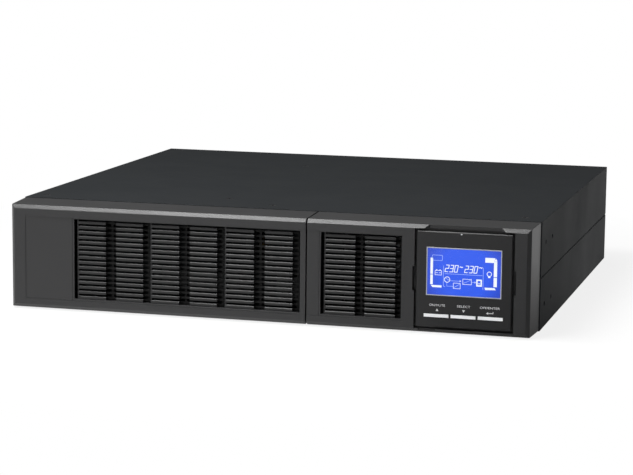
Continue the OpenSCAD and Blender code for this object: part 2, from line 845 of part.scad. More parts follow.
// battery pack, on a tray that slides out through the front
module battery_tray() {
    lip = 26;
    color(steel) difference() {
        union() {
            span([bay_left, case_y - 0.3, tray_floor], [bay_right, case_y + bay_d, tray_floor + sheet]);
            for (x = [bay_left, bay_right - sheet])
                span([x, case_y - 0.3, tray_floor], [x + sheet, case_y + bay_d, tray_floor + lip]);
            span([bay_left, case_y + bay_d - sheet, tray_floor],
                [bay_right, case_y + bay_d, tray_floor + lip]);
        }
        for (i = [0 : 4])
            span([bay_left + 24 + i * 42, case_y + 30, 0],
                [bay_left + 48 + i * 42, case_y + 130, tray_floor + sheet + 0.1]);
    }
}

module tray_plate() {
    y1 = case_y - 0.4;
    y0 = y1 - sheet;
    color(skin) difference() {
        span([-half_w + 4, y0, 3.4], [seam_x - 4.2, y1, bay_top + 1.4]);
        for (row = [0 : 7])
            for (i = [0 : 4])
                span([-196 + i * 40, y0 - 1, 44 + row * 4.6],
                    [-164 + i * 40, y1 + 1, 46.4 + row * 4.6]);
        span([4, y0 - 1, 16], [30, y1 + 1, 36]);
        for (x = [-208, 24])
            rod_y(x, 74, 2.2, y0 - 1, y1 + 1);
    }
}

blocks = [[bay_left + 5, case_y + 6, block_w, block_l],
    [bay_left + 5 + block_w + block_gap, case_y + 6, block_w, block_l],
    [bay_left + 5, case_y + 10 + block_l, block_l, block_w]];

module battery_cases() {
    wall = 2.5;
    color("#26282b") for (b = blocks)
        translate([b[0], b[1], block_z]) difference() {
            cube([b[2], b[3], block_h]);
            translate([wall, wall, wall])
                cube([b[2] - 2 * wall, b[3] - 2 * wall, block_h - 2 * wall]);
        }
}

module battery_plates() {
    wall = 2.6;
    color("#6c7074") for (b = blocks)
        translate([b[0] + wall, b[1] + wall, block_z + wall])
            cube([b[2] - 2 * wall, b[3] - 2 * wall, block_h - 2 * wall]);
}

module battery_terminals() {
    color(brass) for (b = blocks)
        for (end = [12, b[3] - 18])
            translate([b[0] + b[2], b[1] + end, block_z + block_h - 14]) {
                cube([0.8, 6.3, 8]);
                cube([3.4, 6.3, 0.8]);
            }
}

module battery_lead() {
    z = block_z + 20;
    x = blocks[1][0] + block_w + 12;
    color("#8c1f1f") union() {
        for (i = [0, 1]) {
            rod_y(x + i * 9, z, 2.6, case_y + 12, case_y + 150 + i * 8);
            translate([x + i * 9, case_y + 12, z]) sphere(r = 2.6);
            rod_x(case_y + 12, z, 2.6, x + i * 9, 16.9);
        }
        // plug that reaches through the tray plate
        span([5, case_y - 12, 17], [29, case_y + 24, 35]);
    }
}

module pull_strap() {
    y1 = case_y - 0.4 - sheet;
    color("#2b2b2d") union() {
        for (x = [-96, -34])
            span([x, y1 - 2.2, 20], [x + 14, y1, 36]);
        span([-88, y1 - 9, 21], [-28, y1 - 7, 35]);
        for (x = [-88, -30])
            span([x, y1 - 9, 21], [x + 2, y1 - 1, 35]);
    }
}

module battery_cover() {
    seam = seam_x - seam_gap / 2;
    color(plastic) difference() {
        moulding_shell(seam, -1);
        span([band_left, face_y - 1, band_z0], [seam + 1, face_y + band_depth, band_z1]);
        span([vent_left, face_y - 1, vent_z0], [vent_right, face_y + bezel_wall + 1, vent_z1]);
        // fine line that frames the plain name panel
        span([name_line, face_y - 1, band_z0],
            [name_line + 0.6, face_y + band_depth + 0.5, band_z1]);
    }
}

module cover_grilles() {
    color(plastic) for (i = [0 : 2])
        louvre_panel(first_panel + i * panel_pitch, panel_w, columns);
}

// sprung tongues under the top wall of the battery cover, each in a slot of the front plate
module cover_clips() {
    root_z = bezel_top - bezel_wall + 0.35;
    color(plastic) for (p = clip_places)
        union() {
            span([p[0] - 4, case_y - 16, p[1] - 1.4], [p[0] + 4, case_y + 6, p[1]]);
            span([p[0] - 4, case_y - 16, p[1] - 0.1], [p[0] + 4, case_y - 6, root_z]);
        }
}

// display module: a square face on a round housing that turns in the bezel
module cable_bush() {
    y0 = face_y + face_t + drum_d;
    color("#3a3d40") difference() {
        union() {
            rod_y(dial_x, dial_z, 5.95, y0 - 5, y0 + 3);
            rod_y(dial_x, dial_z, 9, y0 + 0.4, y0 + 3);
        }
        span([dial_x - 5, y0 - 6, dial_z - 0.8], [dial_x + 5, y0 + 4, dial_z + 0.8]);
    }
}

module display_lead() {
    y0 = face_y + face_t + drum_d;
    color("#b7bbc0")
        span([dial_x - 4.9, y0 - 5, dial_z - 0.6], [dial_x + 4.9, case_y + 32, dial_z + 0.6]);
}

module display_face() {
    half = face_side / 2;
    edge = 0.8;
    color("#2c2d2f") difference() {
        intersection() {
            linear_extrude(case_h)
                polygon([[dial_x - half + edge, face_y], [dial_x + half - edge, face_y],
                    [dial_x + half, face_y + edge], [dial_x + half, face_y + face_t],
                    [dial_x - half, face_y + face_t], [dial_x - half, face_y + edge]]);
            across_x(dial_x - half, dial_x + half)
                polygon([[face_y, dial_z - half + edge], [face_y, dial_z + half - edge],
                    [face_y + edge, dial_z + half], [face_y + face_t, dial_z + half],
                    [face_y + face_t, dial_z - half], [face_y + edge, dial_z - half]]);
        }
        span([window_x - window_w / 2, face_y - 1, window_z - window_h / 2],
            [window_x + window_w / 2, face_y + 3, window_z + window_h / 2]);
        span([window_x - window_w / 2 - 1, face_y + 0.9, window_z - window_h / 2 - 1],
            [window_x + window_w / 2 + 1, face_y + 3, window_z + window_h / 2 + 1]);
        for (i = [-1 : 1])
            span([button_x(i) - button_w / 2 - 0.2, face_y - 1, button_z - button_h / 2 - 0.2],
                [button_x(i) + button_w / 2 + 0.2, face_y + 3, button_z + button_h / 2 + 0.2]);
        rod_y(light_x, light_z, light_r + 0.05, face_y - 1, face_y + 3);
    }
}

function button_x(i) = dial_x - 0.05 + i * button_pitch;

// the stems stand inside the round housing, so the outer two are at the inner ends
function stem_x(i) = dial_x + i * 13.8;

module display_drum() {
    y0 = face_y + face_t;
    color("#2a2b2d") difference() {
        rod_y(dial_x, dial_z, drum_r, y0, y0 + drum_d);
        rod_y(dial_x, dial_z, drum_r - 2, y0 - 1, y0 + drum_d - 2);
        rod_y(dial_x, dial_z, 6, y0, y0 + drum_d + 1);
    }
}

module display_window() {
    color("#7f9fe0", 0.35)
        span([window_x - window_w / 2 + 0.1, face_y + 0.1, window_z - window_h / 2 + 0.1],
            [window_x + window_w / 2 - 0.1, face_y + 0.8, window_z + window_h / 2 - 0.1]);
}

module lcd_panel() {
    color("#2d55e0")
        span([window_x - window_w / 2 - 0.9, face_y + 0.95, window_z - window_h / 2 - 0.9],
            [window_x + window_w / 2 + 0.9, face_y + face_t, window_z + window_h / 2 + 0.9]);
}

// board with the three tactile switches
module display_board() {
    y0 = face_y + 8.4;
    color(board_green) union() {
        span([dial_x - 27, y0, dial_z - 21], [dial_x + 27, y0 + board_t, dial_z + 21]);
        span([dial_x - 15.6, y0, button_z - 2.2], [dial_x + 15.6, y0 + board_t, dial_z]);
        for (i = [-1 : 1])
            span([stem_x(i) - 2.3, y0 - 2, button_z - 2.2], [stem_x(i) + 2.3, y0, button_z + 2.2]);
    }
}

module status_light() {
    color("#e8ecf0") rod_y(light_x, light_z, light_r, face_y + 0.05, face_y + face_t);
}

// bar button: a thin cap, and a stem with a retaining flange behind the face
module bar_button(i) {
    x = button_x(i);
    sx = stem_x(i);
    color("#d8dadc") union() {
        span([x - button_w / 2, face_y - button_proud, button_z - button_h / 2],
            [x + button_w / 2, face_y + button_cap, button_z + button_h / 2]);
        span([sx - stem_half, face_y - button_proud, button_z - button_h / 2],
            [sx + stem_half, face_y + button_depth, button_z + button_h / 2]);
        span([sx - stem_half, face_y + face_t + 0.1, button_z - button_h / 2 - 0.8],
            [sx + stem_half, face_y + face_t + 1.1, button_z + button_h / 2 + 0.8]);
    }
}

module up_button() {
    bar_button(-1);
}

module down_button() {
    bar_button(0);
}

module enter_button() {
    bar_button(1);
}

bottom_chassis();
top_cover();
front_plate();
rear_panel();
port_panel();
bay_wall();
right_bezel();
right_grille();
cover_screws();
ear_nuts();
fan_frame();
fan_guard();
fan_screws();
power_board();
board_standoffs();
heatsinks();
power_transistors();
bus_capacitors();
inductors();
transformer();
relays();
control_board();
filter_choke();
ac_inlet();
inlet_pins();
outlet_bank();
breaker_body();
breaker_nut();
network_jacks();
usb_port();
serial_port();
epo_socket();
slot_cover();
thumb_screws();
battery_socket();
ground_screw();
panel_screws();
fan_rotor();
reset_button();
battery_tray();
tray_plate();
battery_cases();
battery_plates();
battery_terminals();
battery_lead();
pull_strap();
battery_cover();
cover_grilles();
cover_clips();
cable_bush();
display_lead();
display_face();
display_drum();
display_window();
lcd_panel();
display_board();
status_light();
up_button();
down_button();
enter_button();
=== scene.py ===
import json
import math

import bmesh
import bpy
from mathutils import Matrix, Vector

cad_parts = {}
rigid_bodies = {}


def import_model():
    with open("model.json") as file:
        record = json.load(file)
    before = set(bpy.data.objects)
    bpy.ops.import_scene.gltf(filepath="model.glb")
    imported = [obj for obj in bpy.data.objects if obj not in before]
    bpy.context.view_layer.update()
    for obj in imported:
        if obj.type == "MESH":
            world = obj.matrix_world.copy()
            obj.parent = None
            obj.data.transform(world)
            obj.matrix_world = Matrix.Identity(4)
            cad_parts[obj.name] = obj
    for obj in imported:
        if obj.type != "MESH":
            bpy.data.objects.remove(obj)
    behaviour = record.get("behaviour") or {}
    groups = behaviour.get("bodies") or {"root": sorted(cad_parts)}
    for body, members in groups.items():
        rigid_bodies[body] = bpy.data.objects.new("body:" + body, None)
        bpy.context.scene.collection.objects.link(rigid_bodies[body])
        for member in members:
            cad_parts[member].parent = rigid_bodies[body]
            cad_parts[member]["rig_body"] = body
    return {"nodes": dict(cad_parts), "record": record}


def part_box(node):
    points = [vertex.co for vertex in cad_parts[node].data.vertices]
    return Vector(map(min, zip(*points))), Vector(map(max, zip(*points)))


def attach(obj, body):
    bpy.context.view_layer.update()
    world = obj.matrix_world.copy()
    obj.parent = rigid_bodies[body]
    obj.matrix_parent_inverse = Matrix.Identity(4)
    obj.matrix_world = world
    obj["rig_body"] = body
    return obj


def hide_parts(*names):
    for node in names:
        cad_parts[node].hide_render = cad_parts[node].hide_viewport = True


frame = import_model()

mm = 0.001
nodes = frame["nodes"]
scene = bpy.context.scene
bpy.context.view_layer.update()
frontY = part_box("right_bezel")[0].y
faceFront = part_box("display_face")[0].y


def addObject(name, data):
    added = bpy.data.objects.new(name, data)
    scene.collection.objects.link(added)
    return added


# helpers for every node tree
def addNode(tree, kind, **values):
    node = tree.nodes.new(kind)
    for key, value in values.items():
        if hasattr(node, key):
            setattr(node, key, value)
        else:
            node.inputs[key.replace("_", " ")].default_value = value
    return node


def objectPlace(tree):
    return tree.nodes.new("ShaderNodeTexCoord").outputs["Object"]


def mathNode(tree, operation, a, b):
    node = addNode(tree, "ShaderNodeMath", operation=operation)
    for i, value in enumerate((a, b)):
        if isinstance(value, (int, float)):
            node.inputs[i].default_value = value
        else:
            tree.links.new(value, node.inputs[i])
    return node.outputs[0]


def rangeNode(tree, value, fromLow, fromHigh, toLow=0.0, toHigh=1.0, smooth=False):
    node = tree.nodes.new("ShaderNodeMapRange")
    if smooth:
        node.interpolation_type = "SMOOTHSTEP"
    node.inputs["From Min"].default_value = fromLow
    node.inputs["From Max"].default_value = fromHigh
    node.inputs["To Min"].default_value = toLow
    node.inputs["To Max"].default_value = toHigh
    tree.links.new(value, node.inputs["Value"])
    return node.outputs["Result"]


def mixShaders(tree, mask, first, second):
    mix = tree.nodes.new("ShaderNodeMixShader")
    tree.links.new(mask, mix.inputs["Fac"])
    tree.links.new(first.outputs[0], mix.inputs[1])
    tree.links.new(second.outputs[0], mix.inputs[2])
    return mix


# camera, floor and lamps
view = {
    "place": (0.4912, -1.8535, 0.3398),
    "heading": 15.19,  # degrees to the left
    "tilt": 8.93,  # degrees down
    "roll": 0.59,
    "lens": 123.66,
}


def addCamera():
    camera = addObject("camera", bpy.data.cameras.new("camera"))
    camera.data.sensor_width = 36
    camera.data.lens = view["lens"]
    camera.data.clip_start = 0.05
    turn = Matrix.Rotation(math.radians(view["heading"]), 4, "Z")
    turn @= Matrix.Rotation(math.radians(90 - view["tilt"]), 4, "X")
    turn @= Matrix.Rotation(math.radians(view["roll"]), 4, "Z")
    camera.matrix_world = Matrix.Translation(view["place"]) @ turn
    scene.camera = camera


lamps = {
    "horizon": 0.09,
    "zenith": 0.55,
    "rise": (0.28, 0.92),  # sine of the height over which the room brightens
    "overhead": {
        "place": (-0.26, -0.40, 1.02), "size": (0.66, 0.36), "watts": 12.8, "aim": (-0.04, -0.18, 0.05),
    },
    "front": {"place": (-1.35, -1.85, 1.0), "size": (1.4, 1.2), "watts": 8.6, "aim": (0, 0, 0.05)},
}


def addLamp(name, facts):
    lamp = bpy.data.lights.new(name, "AREA")
    lamp.shape = "RECTANGLE"
    lamp.size, lamp.size_y = facts["size"]
    lamp.energy = facts["watts"]
    holder = addObject(name, lamp)
    place = Vector(facts["place"])
    away = Vector(facts["aim"]) - place
    holder.matrix_world = Matrix.Translation(place) @ away.to_track_quat("-Z", "Y").to_matrix().to_4x4()


white = (1, 1, 1, 1)


# a room that is darker near the horizon, and white where the camera sees it
def addWorld():
    world = bpy.data.worlds.new("studio")
    scene.world = world
    world.use_nodes = True
    tree = world.node_tree
    tree.nodes.clear()
    out = tree.nodes.new("ShaderNodeOutputWorld")
    direction = tree.nodes.new("ShaderNodeTexCoord")
    parts = tree.nodes.new("ShaderNodeSeparateXYZ")
    tree.links.new(direction.outputs["Generated"], parts.inputs[0])
    low, high = lamps["rise"]
    height = rangeNode(tree, parts.outputs["Z"], low, high, lamps["horizon"], lamps["zenith"], smooth=True)
    room = addNode(tree, "ShaderNodeBackground", Color=white)
    tree.links.new(height, room.inputs["Strength"])
    seen = addNode(tree, "ShaderNodeBackground", Color=white, Strength=1.0)
    mix = mixShaders(tree, seenByEye(tree, False), room, seen)
    tree.links.new(mix.outputs[0], out.inputs["Surface"])


def seenByEye(tree, glossy=True):  # camera and transmission rays, and glossy ones for the floor
    path = tree.nodes.new("ShaderNodeLightPath")
    seen = mathNode(tree, "MAXIMUM", path.outputs["Is Camera Ray"], path.outputs["Is Transmission Ray"])
    if glossy:
        seen = mathNode(tree, "MAXIMUM", seen, path.outputs["Is Glossy Ray"])
    return seen


floorLook = {
    "half": 12.0,
    "drop": 0.0002,  # a hair below the case, so that the two never share a plane
    "matt": (0.9, 0.9, 0.9, 1),
    "fade": (0.28, 0.56),  # distances between which the shadow gives way to white
    "least": 0.82,  # share of white under the case
    # a grey card in front on the right, met only by reflections
    "card": {
        "place": (0.62, -0.44, 0), "inner": 0.36, "outer": 0.72, "strength": 0.96,
        "color": (0.05, 0.05, 0.05, 1),
    },
}


def addFloor():
    half = floorLook["half"]
    mesh = bpy.data.meshes.new("floor")
    corners = [(-half, -half, 0), (half, -half, 0), (half, half, 0), (-half, half, 0)]
    mesh.from_pydata(corners, [], [(0, 1, 2, 3)])
    floor = addObject("floor", mesh)
    floor.location.z = -floorLook["drop"]
    material = bpy.data.materials.new("paleFloor")
    material.use_nodes = True
    tree = material.node_tree
    tree.nodes.clear()
    out = tree.nodes.new("ShaderNodeOutputMaterial")
    matt = addNode(tree, "ShaderNodeBsdfDiffuse", Color=floorLook["matt"])
    glow = addNode(tree, "ShaderNodeEmission", Color=white, Strength=1.0)
    place = objectPlace(tree)
    far = addNode(tree, "ShaderNodeVectorMath", operation="LENGTH")
    tree.links.new(place, far.inputs[0])
    near, away = floorLook["fade"]
    fade = rangeNode(tree, far.outputs["Value"], near, away, floorLook["least"], smooth=True)
    plain = mixShaders(tree, mathNode(tree, "MULTIPLY", seenByEye(tree), fade), matt, glow)
    card = floorLook["card"]
    apart = addNode(tree, "ShaderNodeVectorMath", operation="DISTANCE")
    apart.inputs[1].default_value = card["place"]
    tree.links.new(place, apart.inputs[0])
    outer, inner = card["outer"], card["inner"]
    patch = rangeNode(tree, apart.outputs["Value"], outer, inner, 0.0, card["strength"], smooth=True)
    path = tree.nodes.new("ShaderNodeLightPath")
    mask = mathNode(tree, "MULTIPLY", path.outputs["Is Glossy Ray"], patch)
    grey = addNode(tree, "ShaderNodeBsdfDiffuse", Color=card["color"])
    last = mixShaders(tree, mask, plain, grey)
    tree.links.new(last.outputs[0], out.inputs["Surface"])
    floor.data.materials.append(material)


scene.view_settings.view_transform = "Standard"
addCamera()
addWorld()
addFloor()
for lampName in ("overhead", "front"):
    addLamp(lampName, lamps[lampName])
print("stage ready")


# shared shader effects
number = "NodeSocketFloat"


def newGroup(name, ins, outs):
    group = bpy.data.node_groups.new(name, "ShaderNodeTree")
    for label, kind, value in ins:
        socket = group.interface.new_socket(label, in_out="INPUT", socket_type=kind)
        socket.default_value = value
    for label, kind in outs:
        group.interface.new_socket(label, in_out="OUTPUT", socket_type=kind)
    start = group.nodes.new("NodeGroupInput")
    end = group.nodes.new("NodeGroupOutput")
    return group, start, end


def noiseNode(tree, place, scale, detail=3.0, rough=0.55):
    node = tree.nodes.new("ShaderNodeTexNoise")
    node.inputs["Detail"].default_value = detail
    node.inputs["Roughness"].default_value = rough
    if isinstance(scale, (int, float)):
        node.inputs["Scale"].default_value = scale
    else:
        tree.links.new(scale, node.inputs["Scale"])
    tree.links.new(place, node.inputs["Vector"])
    return node.outputs["Fac"]


# rubbed outer edges, broken up by noise
def makeEdgeWear():
    group, start, end = newGroup(
        "edgeWear",
        [("Radius", number, 0.0008), ("Amount", number, 0.5), ("Breakup", number, 90.0)],
        [("Mask", number)],
    )
    geometry = group.nodes.new("ShaderNodeNewGeometry")
    rounded = addNode(group, "ShaderNodeBevel", samples=6)
    group.links.new(start.outputs["Radius"], rounded.inputs["Radius"])
    same = addNode(group, "ShaderNodeVectorMath", operation="DOT_PRODUCT")
    group.links.new(geometry.outputs["Normal"], same.inputs[0])
    group.links.new(rounded.outputs["Normal"], same.inputs[1])
    edge = rangeNode(group, same.outputs["Value"], 0.995, 0.80)
    place = objectPlace(group)
    broken = noiseNode(group, place, start.outputs["Breakup"], 5.0, 0.65)
    patch = rangeNode(group, broken, 0.38, 0.66)
    mask = mathNode(group, "MULTIPLY", mathNode(group, "MULTIPLY", edge, patch), start.outputs["Amount"])
    group.links.new(mask, end.inputs["Mask"])
    return group


# fine moulded or sprayed texture: a height for bump, and slow patches for colour and gloss
def makeGrain():
    group, start, end = newGroup(
        "surfaceGrain",
        [("Fine", number, 2600.0), ("Patches", number, 14.0)],
        [("Height", number), ("Patch", number), ("Speck", number)],
    )
    place = objectPlace(group)
    fine = noiseNode(group, place, start.outputs["Fine"], 2.0, 0.6)
    wide = mathNode(group, "MULTIPLY", start.outputs["Fine"], 0.35)
    coarse = noiseNode(group, place, wide, 2.0, 0.5)
    shares = [mathNode(group, "MULTIPLY", fine, 0.65), mathNode(group, "MULTIPLY", coarse, 0.35)]
    height = mathNode(group, "ADD", *shares)
    patch = noiseNode(group, place, start.outputs["Patches"], 4.0, 0.6)
    group.links.new(height, end.inputs["Height"])
    group.links.new(rangeNode(group, patch, 0.3, 0.7), end.inputs["Patch"])
    group.links.new(rangeNode(group, fine, 0.62, 0.78), end.inputs["Speck"])
    return group


# thin dust that lies on faces that look up
def makeDust():
    group, start, end = newGroup(
        "dust",
        [("Amount", number, 0.3), ("Scale", number, 30.0)],
        [("Mask", number)],
    )
    geometry = group.nodes.new("ShaderNodeNewGeometry")
    parts = group.nodes.new("ShaderNodeSeparateXYZ")
    group.links.new(geometry.outputs["Normal"], parts.inputs[0])
    up = rangeNode(group, parts.outputs["Z"], 0.2, 0.95)
    place = objectPlace(group)
    noise = noiseNode(group, place, start.outputs["Scale"], 6.0, 0.7)
    cloud = rangeNode(group, noise, 0.35, 0.8)
    mask = mathNode(group, "MULTIPLY", mathNode(group, "MULTIPLY", up, cloud), start.outputs["Amount"])
    group.links.new(mask, end.inputs["Mask"])
    return group


# fine lines drawn along one direction, as on rolled or brushed metal
def makeBrushLines():
    group, start, end = newGroup(
        "brushLines",
        [("Stretch", "NodeSocketVector", (40.0, 1500.0, 1500.0)), ("Patches", number, 25.0)],
        [("Height", number), ("Patch", number)],
    )
    place = objectPlace(group)
    stretched = addNode(group, "ShaderNodeVectorMath", operation="MULTIPLY")
    group.links.new(place, stretched.inputs[0])
    group.links.new(start.outputs["Stretch"], stretched.inputs[1])
    lines = noiseNode(group, stretched.outputs[0], 1.0, 3.0, 0.6)
    patch = noiseNode(group, place, start.outputs["Patches"], 4.0, 0.6)
    group.links.new(lines, end.inputs["Height"])
    group.links.new(rangeNode(group, patch, 0.3, 0.7), end.inputs["Patch"])
    return group


edgeWear = makeEdgeWear()
surfaceGrain = makeGrain()
dust = makeDust()
brushLines = makeBrushLines()


def placeGroup(tree, group, **values):
    node = tree.nodes.new("ShaderNodeGroup")
    node.node_tree = group
    for key, value in values.items():
        node.inputs[key].default_value = value
    return node


def mixColors(tree, mask, low, high):
    node = tree.nodes.new("ShaderNodeMix")
    node.data_type = "RGBA"
    tree.links.new(mask, node.inputs["Factor"])
    for socket, value in ((node.inputs["A"], low), (node.inputs["B"], high)):
        if isinstance(value, tuple):
            socket.default_value = (*value, 1.0)
        else:
            tree.links.new(value, socket)
    return node.outputs["Result"]


def startMaterial(name):
    material = bpy.data.materials.new(name)
    material.use_nodes = True
    tree = material.node_tree
    tree.nodes.clear()
    out = tree.nodes.new("ShaderNodeOutputMaterial")
    shader = tree.nodes.new("ShaderNodeBsdfPrincipled")
    tree.links.new(shader.outputs["BSDF"], out.inputs["Surface"])
    return material, tree, shader


def addBump(tree, shader, height, depth):
    bump = tree.nodes.new("ShaderNodeBump")
    bump.inputs["Strength"].default_value = 1.0
    bump.inputs["Distance"].default_value = depth
    tree.links.new(height, bump.inputs["Height"])
    tree.links.new(bump.outputs["Normal"], shader.inputs["Normal"])


dustColor = (0.25, 0.24, 0.22)
paintedShadeBlack = {"color": (0.005, 0.005, 0.005), "rough": 0.88}  # painted shade: near black and matt, standing in for the shade between the louvres


# painted or moulded surface: base and patch colours, grain, worn edges, a little dust, and where asked a
# painted shade further in
def coatedMaterial(name, facts):
    material, tree, shader = startMaterial(name)
    grain = placeGroup(tree, surfaceGrain, Fine=facts["fine"], Patches=facts.get("patches", 14.0))
    color = mixColors(tree, grain.outputs["Patch"], facts["color"], facts["patchColor"])
    if facts.get("speck"):
        speck = mathNode(tree, "MULTIPLY", grain.outputs["Speck"], facts["speck"])
        color = mixColors(tree, speck, color, facts["speckColor"])
    if facts.get("wear"):
        wear = placeGroup(tree, edgeWear, Radius=facts.get("wearRadius", 0.0008), Amount=facts["wear"])
        color = mixColors(tree, wear.outputs["Mask"], color, facts["wearColor"])
    if facts.get("dust"):
        film = placeGroup(tree, dust, Amount=facts["dust"])
        color = mixColors(tree, film.outputs["Mask"], color, dustColor)
    low, high = facts["rough"]
    rough = rangeNode(tree, grain.outputs["Patch"], 0.0, 1.0, low, high)
    if facts.get("inside"):  # painted shade: the colour goes matt black further in than these two depths behind the front, where the louvres lie in shade
        place = objectPlace(tree)
        parts = tree.nodes.new("ShaderNodeSeparateXYZ")
        tree.links.new(place, parts.inputs[0])
        start, full = facts["inside"]
        mask = rangeNode(tree, parts.outputs["Y"], frontY + start * mm, frontY + full * mm)
        color = mixColors(tree, mask, color, paintedShadeBlack["color"])
        rough = mathNode(tree, "MAXIMUM", rough, mathNode(tree, "MULTIPLY", mask, paintedShadeBlack["rough"]))
    tree.links.new(color, shader.inputs["Base Color"])
    tree.links.new(rough, shader.inputs["Roughness"])
    shader.inputs["Specular IOR Level"].default_value = facts.get("specular", 0.5)
    shader.inputs["Metallic"].default_value = facts.get("metallic", 0.0)
    if facts.get("coat"):
        shader.inputs["Coat Weight"].default_value = facts["coat"]
        shader.inputs["Coat Roughness"].default_value = facts.get("coatRough", 0.3)
    addBump(tree, shader, grain.outputs["Height"], facts["depth"])
    return material


def metalMaterial(name, facts):
    material, tree, shader = startMaterial(name)
    lines = placeGroup(tree, brushLines, Stretch=facts["stretch"])
    color = mixColors(tree, lines.outputs["Patch"], facts["color"], facts["patchColor"])
    tree.links.new(color, shader.inputs["Base Color"])
    low, high = facts["rough"]
    tree.links.new(rangeNode(tree, lines.outputs["Patch"], 0.0, 1.0, low, high), shader.inputs["Roughness"])
    shader.inputs["Metallic"].default_value = 1.0
    addBump(tree, shader, lines.outputs["Height"], facts["depth"])
    return material


casePaint = coatedMaterial("casePaint", {
    "color": (0.0118, 0.0138, 0.0155), "patchColor": (0.0142, 0.0162, 0.018),
    "fine": 1500.0, "patches": 9.0,
    "speck": 0.12, "speckColor": (0.05, 0.053, 0.057), "wear": 0.2, "wearColor": (0.09, 0.093, 0.097),
    "dust": 0.012, "rough": (0.62, 0.72), "specular": 0.16, "depth": 0.00006,
})
frontPlastic = coatedMaterial("frontPlastic", {
    "color": (0.022, 0.022, 0.0228), "patchColor": (0.026, 0.026, 0.0268), "fine": 2600.0, "patches": 11.0,
    "speck": 0.08, "speckColor": (0.07, 0.07, 0.07), "wear": 0.1, "wearColor": (0.13, 0.13, 0.13),
    "dust": 0.01, "rough": (0.38, 0.46), "specular": 0.5, "depth": 0.00003,
})
# the louvres darken to a painted shade from 1.5 to 2.4 mm behind the front
louvrePlastic = coatedMaterial("louvrePlastic", {
    "color": (0.0105, 0.0105, 0.0109), "patchColor": (0.0145, 0.0145, 0.015),
    "fine": 2600.0, "patches": 30.0,
    "wear": 0.08, "wearRadius": 0.0004, "wearColor": (0.12, 0.12, 0.12), "inside": (1.5, 2.4),
    "dust": 0.02, "rough": (0.36, 0.44), "specular": 0.42, "depth": 0.00002,
})
displayPlastic = coatedMaterial("displayPlastic", {
    "color": (0.014, 0.014, 0.0147), "patchColor": (0.017, 0.017, 0.0176), "fine": 3200.0, "patches": 20.0,
    "wear": 0.12, "wearRadius": 0.0005, "wearColor": (0.13, 0.13, 0.13),
    "rough": (0.40, 0.47), "specular": 0.45, "depth": 0.00002,
})
blackParts = coatedMaterial("blackParts", {
    "color": (0.014, 0.014, 0.015), "patchColor": (0.02, 0.02, 0.021), "fine": 3000.0, "patches": 40.0,
    "wear": 0.12, "wearColor": (0.12, 0.12, 0.12), "dust": 0.05, "rough": (0.38, 0.5), "depth": 0.00003,
})
buttonSilver = coatedMaterial("buttonSilver", {
    "color": (0.80, 0.81, 0.82), "patchColor": (0.86, 0.87, 0.88), "fine": 4000.0, "patches": 60.0,
    "wear": 0.3, "wearRadius": 0.0003, "wearColor": (0.5, 0.5, 0.5),
    "rough": (0.28, 0.38), "depth": 0.00001,
})
darkScrew = coatedMaterial("darkScrew", {
    "color": (0.03, 0.03, 0.032), "patchColor": (0.05, 0.05, 0.052), "fine": 2500.0, "patches": 80.0,
    "wear": 0.6, "wearRadius": 0.0003, "wearColor": (0.35, 0.35, 0.36), "rough": (0.3, 0.45),
    "metallic": 0.6, "depth": 0.00002,
})
boardGreen = coatedMaterial("boardGreen", {
    "color": (0.012, 0.10, 0.035), "patchColor": (0.016, 0.13, 0.05), "fine": 900.0, "patches": 160.0,
    "speck": 0.4, "speckColor": (0.35, 0.36, 0.33), "rough": (0.3, 0.42), "coat": 0.5, "depth": 0.00003,
})
capacitorSleeve = coatedMaterial("capacitorSleeve", {
    "color": (0.012, 0.02, 0.075), "patchColor": (0.016, 0.028, 0.1), "fine": 1800.0, "patches": 40.0,
    "rough": (0.22, 0.3), "depth": 0.00002,
})
copperWinding = metalMaterial("copperWinding", {
    "color": (0.45, 0.16, 0.06), "patchColor": (0.6, 0.24, 0.1), "stretch": (900.0, 900.0, 60.0),
    "rough": (0.28, 0.4), "depth": 0.0002,
})
ferrite = coatedMaterial("ferrite", {
    "color": (0.05, 0.048, 0.045), "patchColor": (0.08, 0.076, 0.07), "fine": 1400.0, "patches": 60.0,
    "wear": 0.4, "wearColor": (0.2, 0.19, 0.18), "rough": (0.6, 0.75), "depth": 0.00008,
})
greenPlug = coatedMaterial("greenPlug", {
    "color": (0.02, 0.2, 0.05), "patchColor": (0.03, 0.25, 0.07), "fine": 2500.0, "patches": 50.0,
    "rough": (0.35, 0.5), "depth": 0.00003,
})
batteryCase = coatedMaterial("batteryCase", {
    "color": (0.02, 0.021, 0.024), "patchColor": (0.03, 0.031, 0.034), "fine": 1100.0, "patches": 18.0,
    "wear": 0.4, "wearColor": (0.15, 0.15, 0.15), "dust": 0.1, "rough": (0.4, 0.55), "depth": 0.00006,
})
leadRubber = coatedMaterial("leadRubber", {
    "color": (0.011, 0.011, 0.012), "patchColor": (0.018, 0.018, 0.019), "fine": 2200.0, "patches": 30.0,
    "rough": (0.3, 0.42), "depth": 0.00003,
})
strapPlastic = coatedMaterial("strapPlastic", {
    "color": (0.03, 0.03, 0.031), "patchColor": (0.04, 0.04, 0.041), "fine": 1600.0, "patches": 30.0,
    "wear": 0.2, "wearColor": (0.15, 0.15, 0.15), "rough": (0.5, 0.62), "depth": 0.00005,
})
ribbonGrey = metalMaterial("ribbonGrey", {
    "color": (0.4, 0.41, 0.42), "patchColor": (0.5, 0.51, 0.52), "stretch": (1500.0, 20.0, 20.0),
    "rough": (0.4, 0.5), "depth": 0.0002,
})
zincSteel = metalMaterial("zincSteel", {
    "color": (0.50, 0.51, 0.52), "patchColor": (0.60, 0.61, 0.60), "stretch": (60.0, 1200.0, 1200.0),
    "rough": (0.3, 0.45), "depth": 0.00002,
})
brassMetal = metalMaterial("brassMetal", {
    "color": (0.62, 0.42, 0.16), "patchColor": (0.72, 0.52, 0.22), "stretch": (900.0, 900.0, 900.0),
    "rough": (0.25, 0.4), "depth": 0.00002,
})
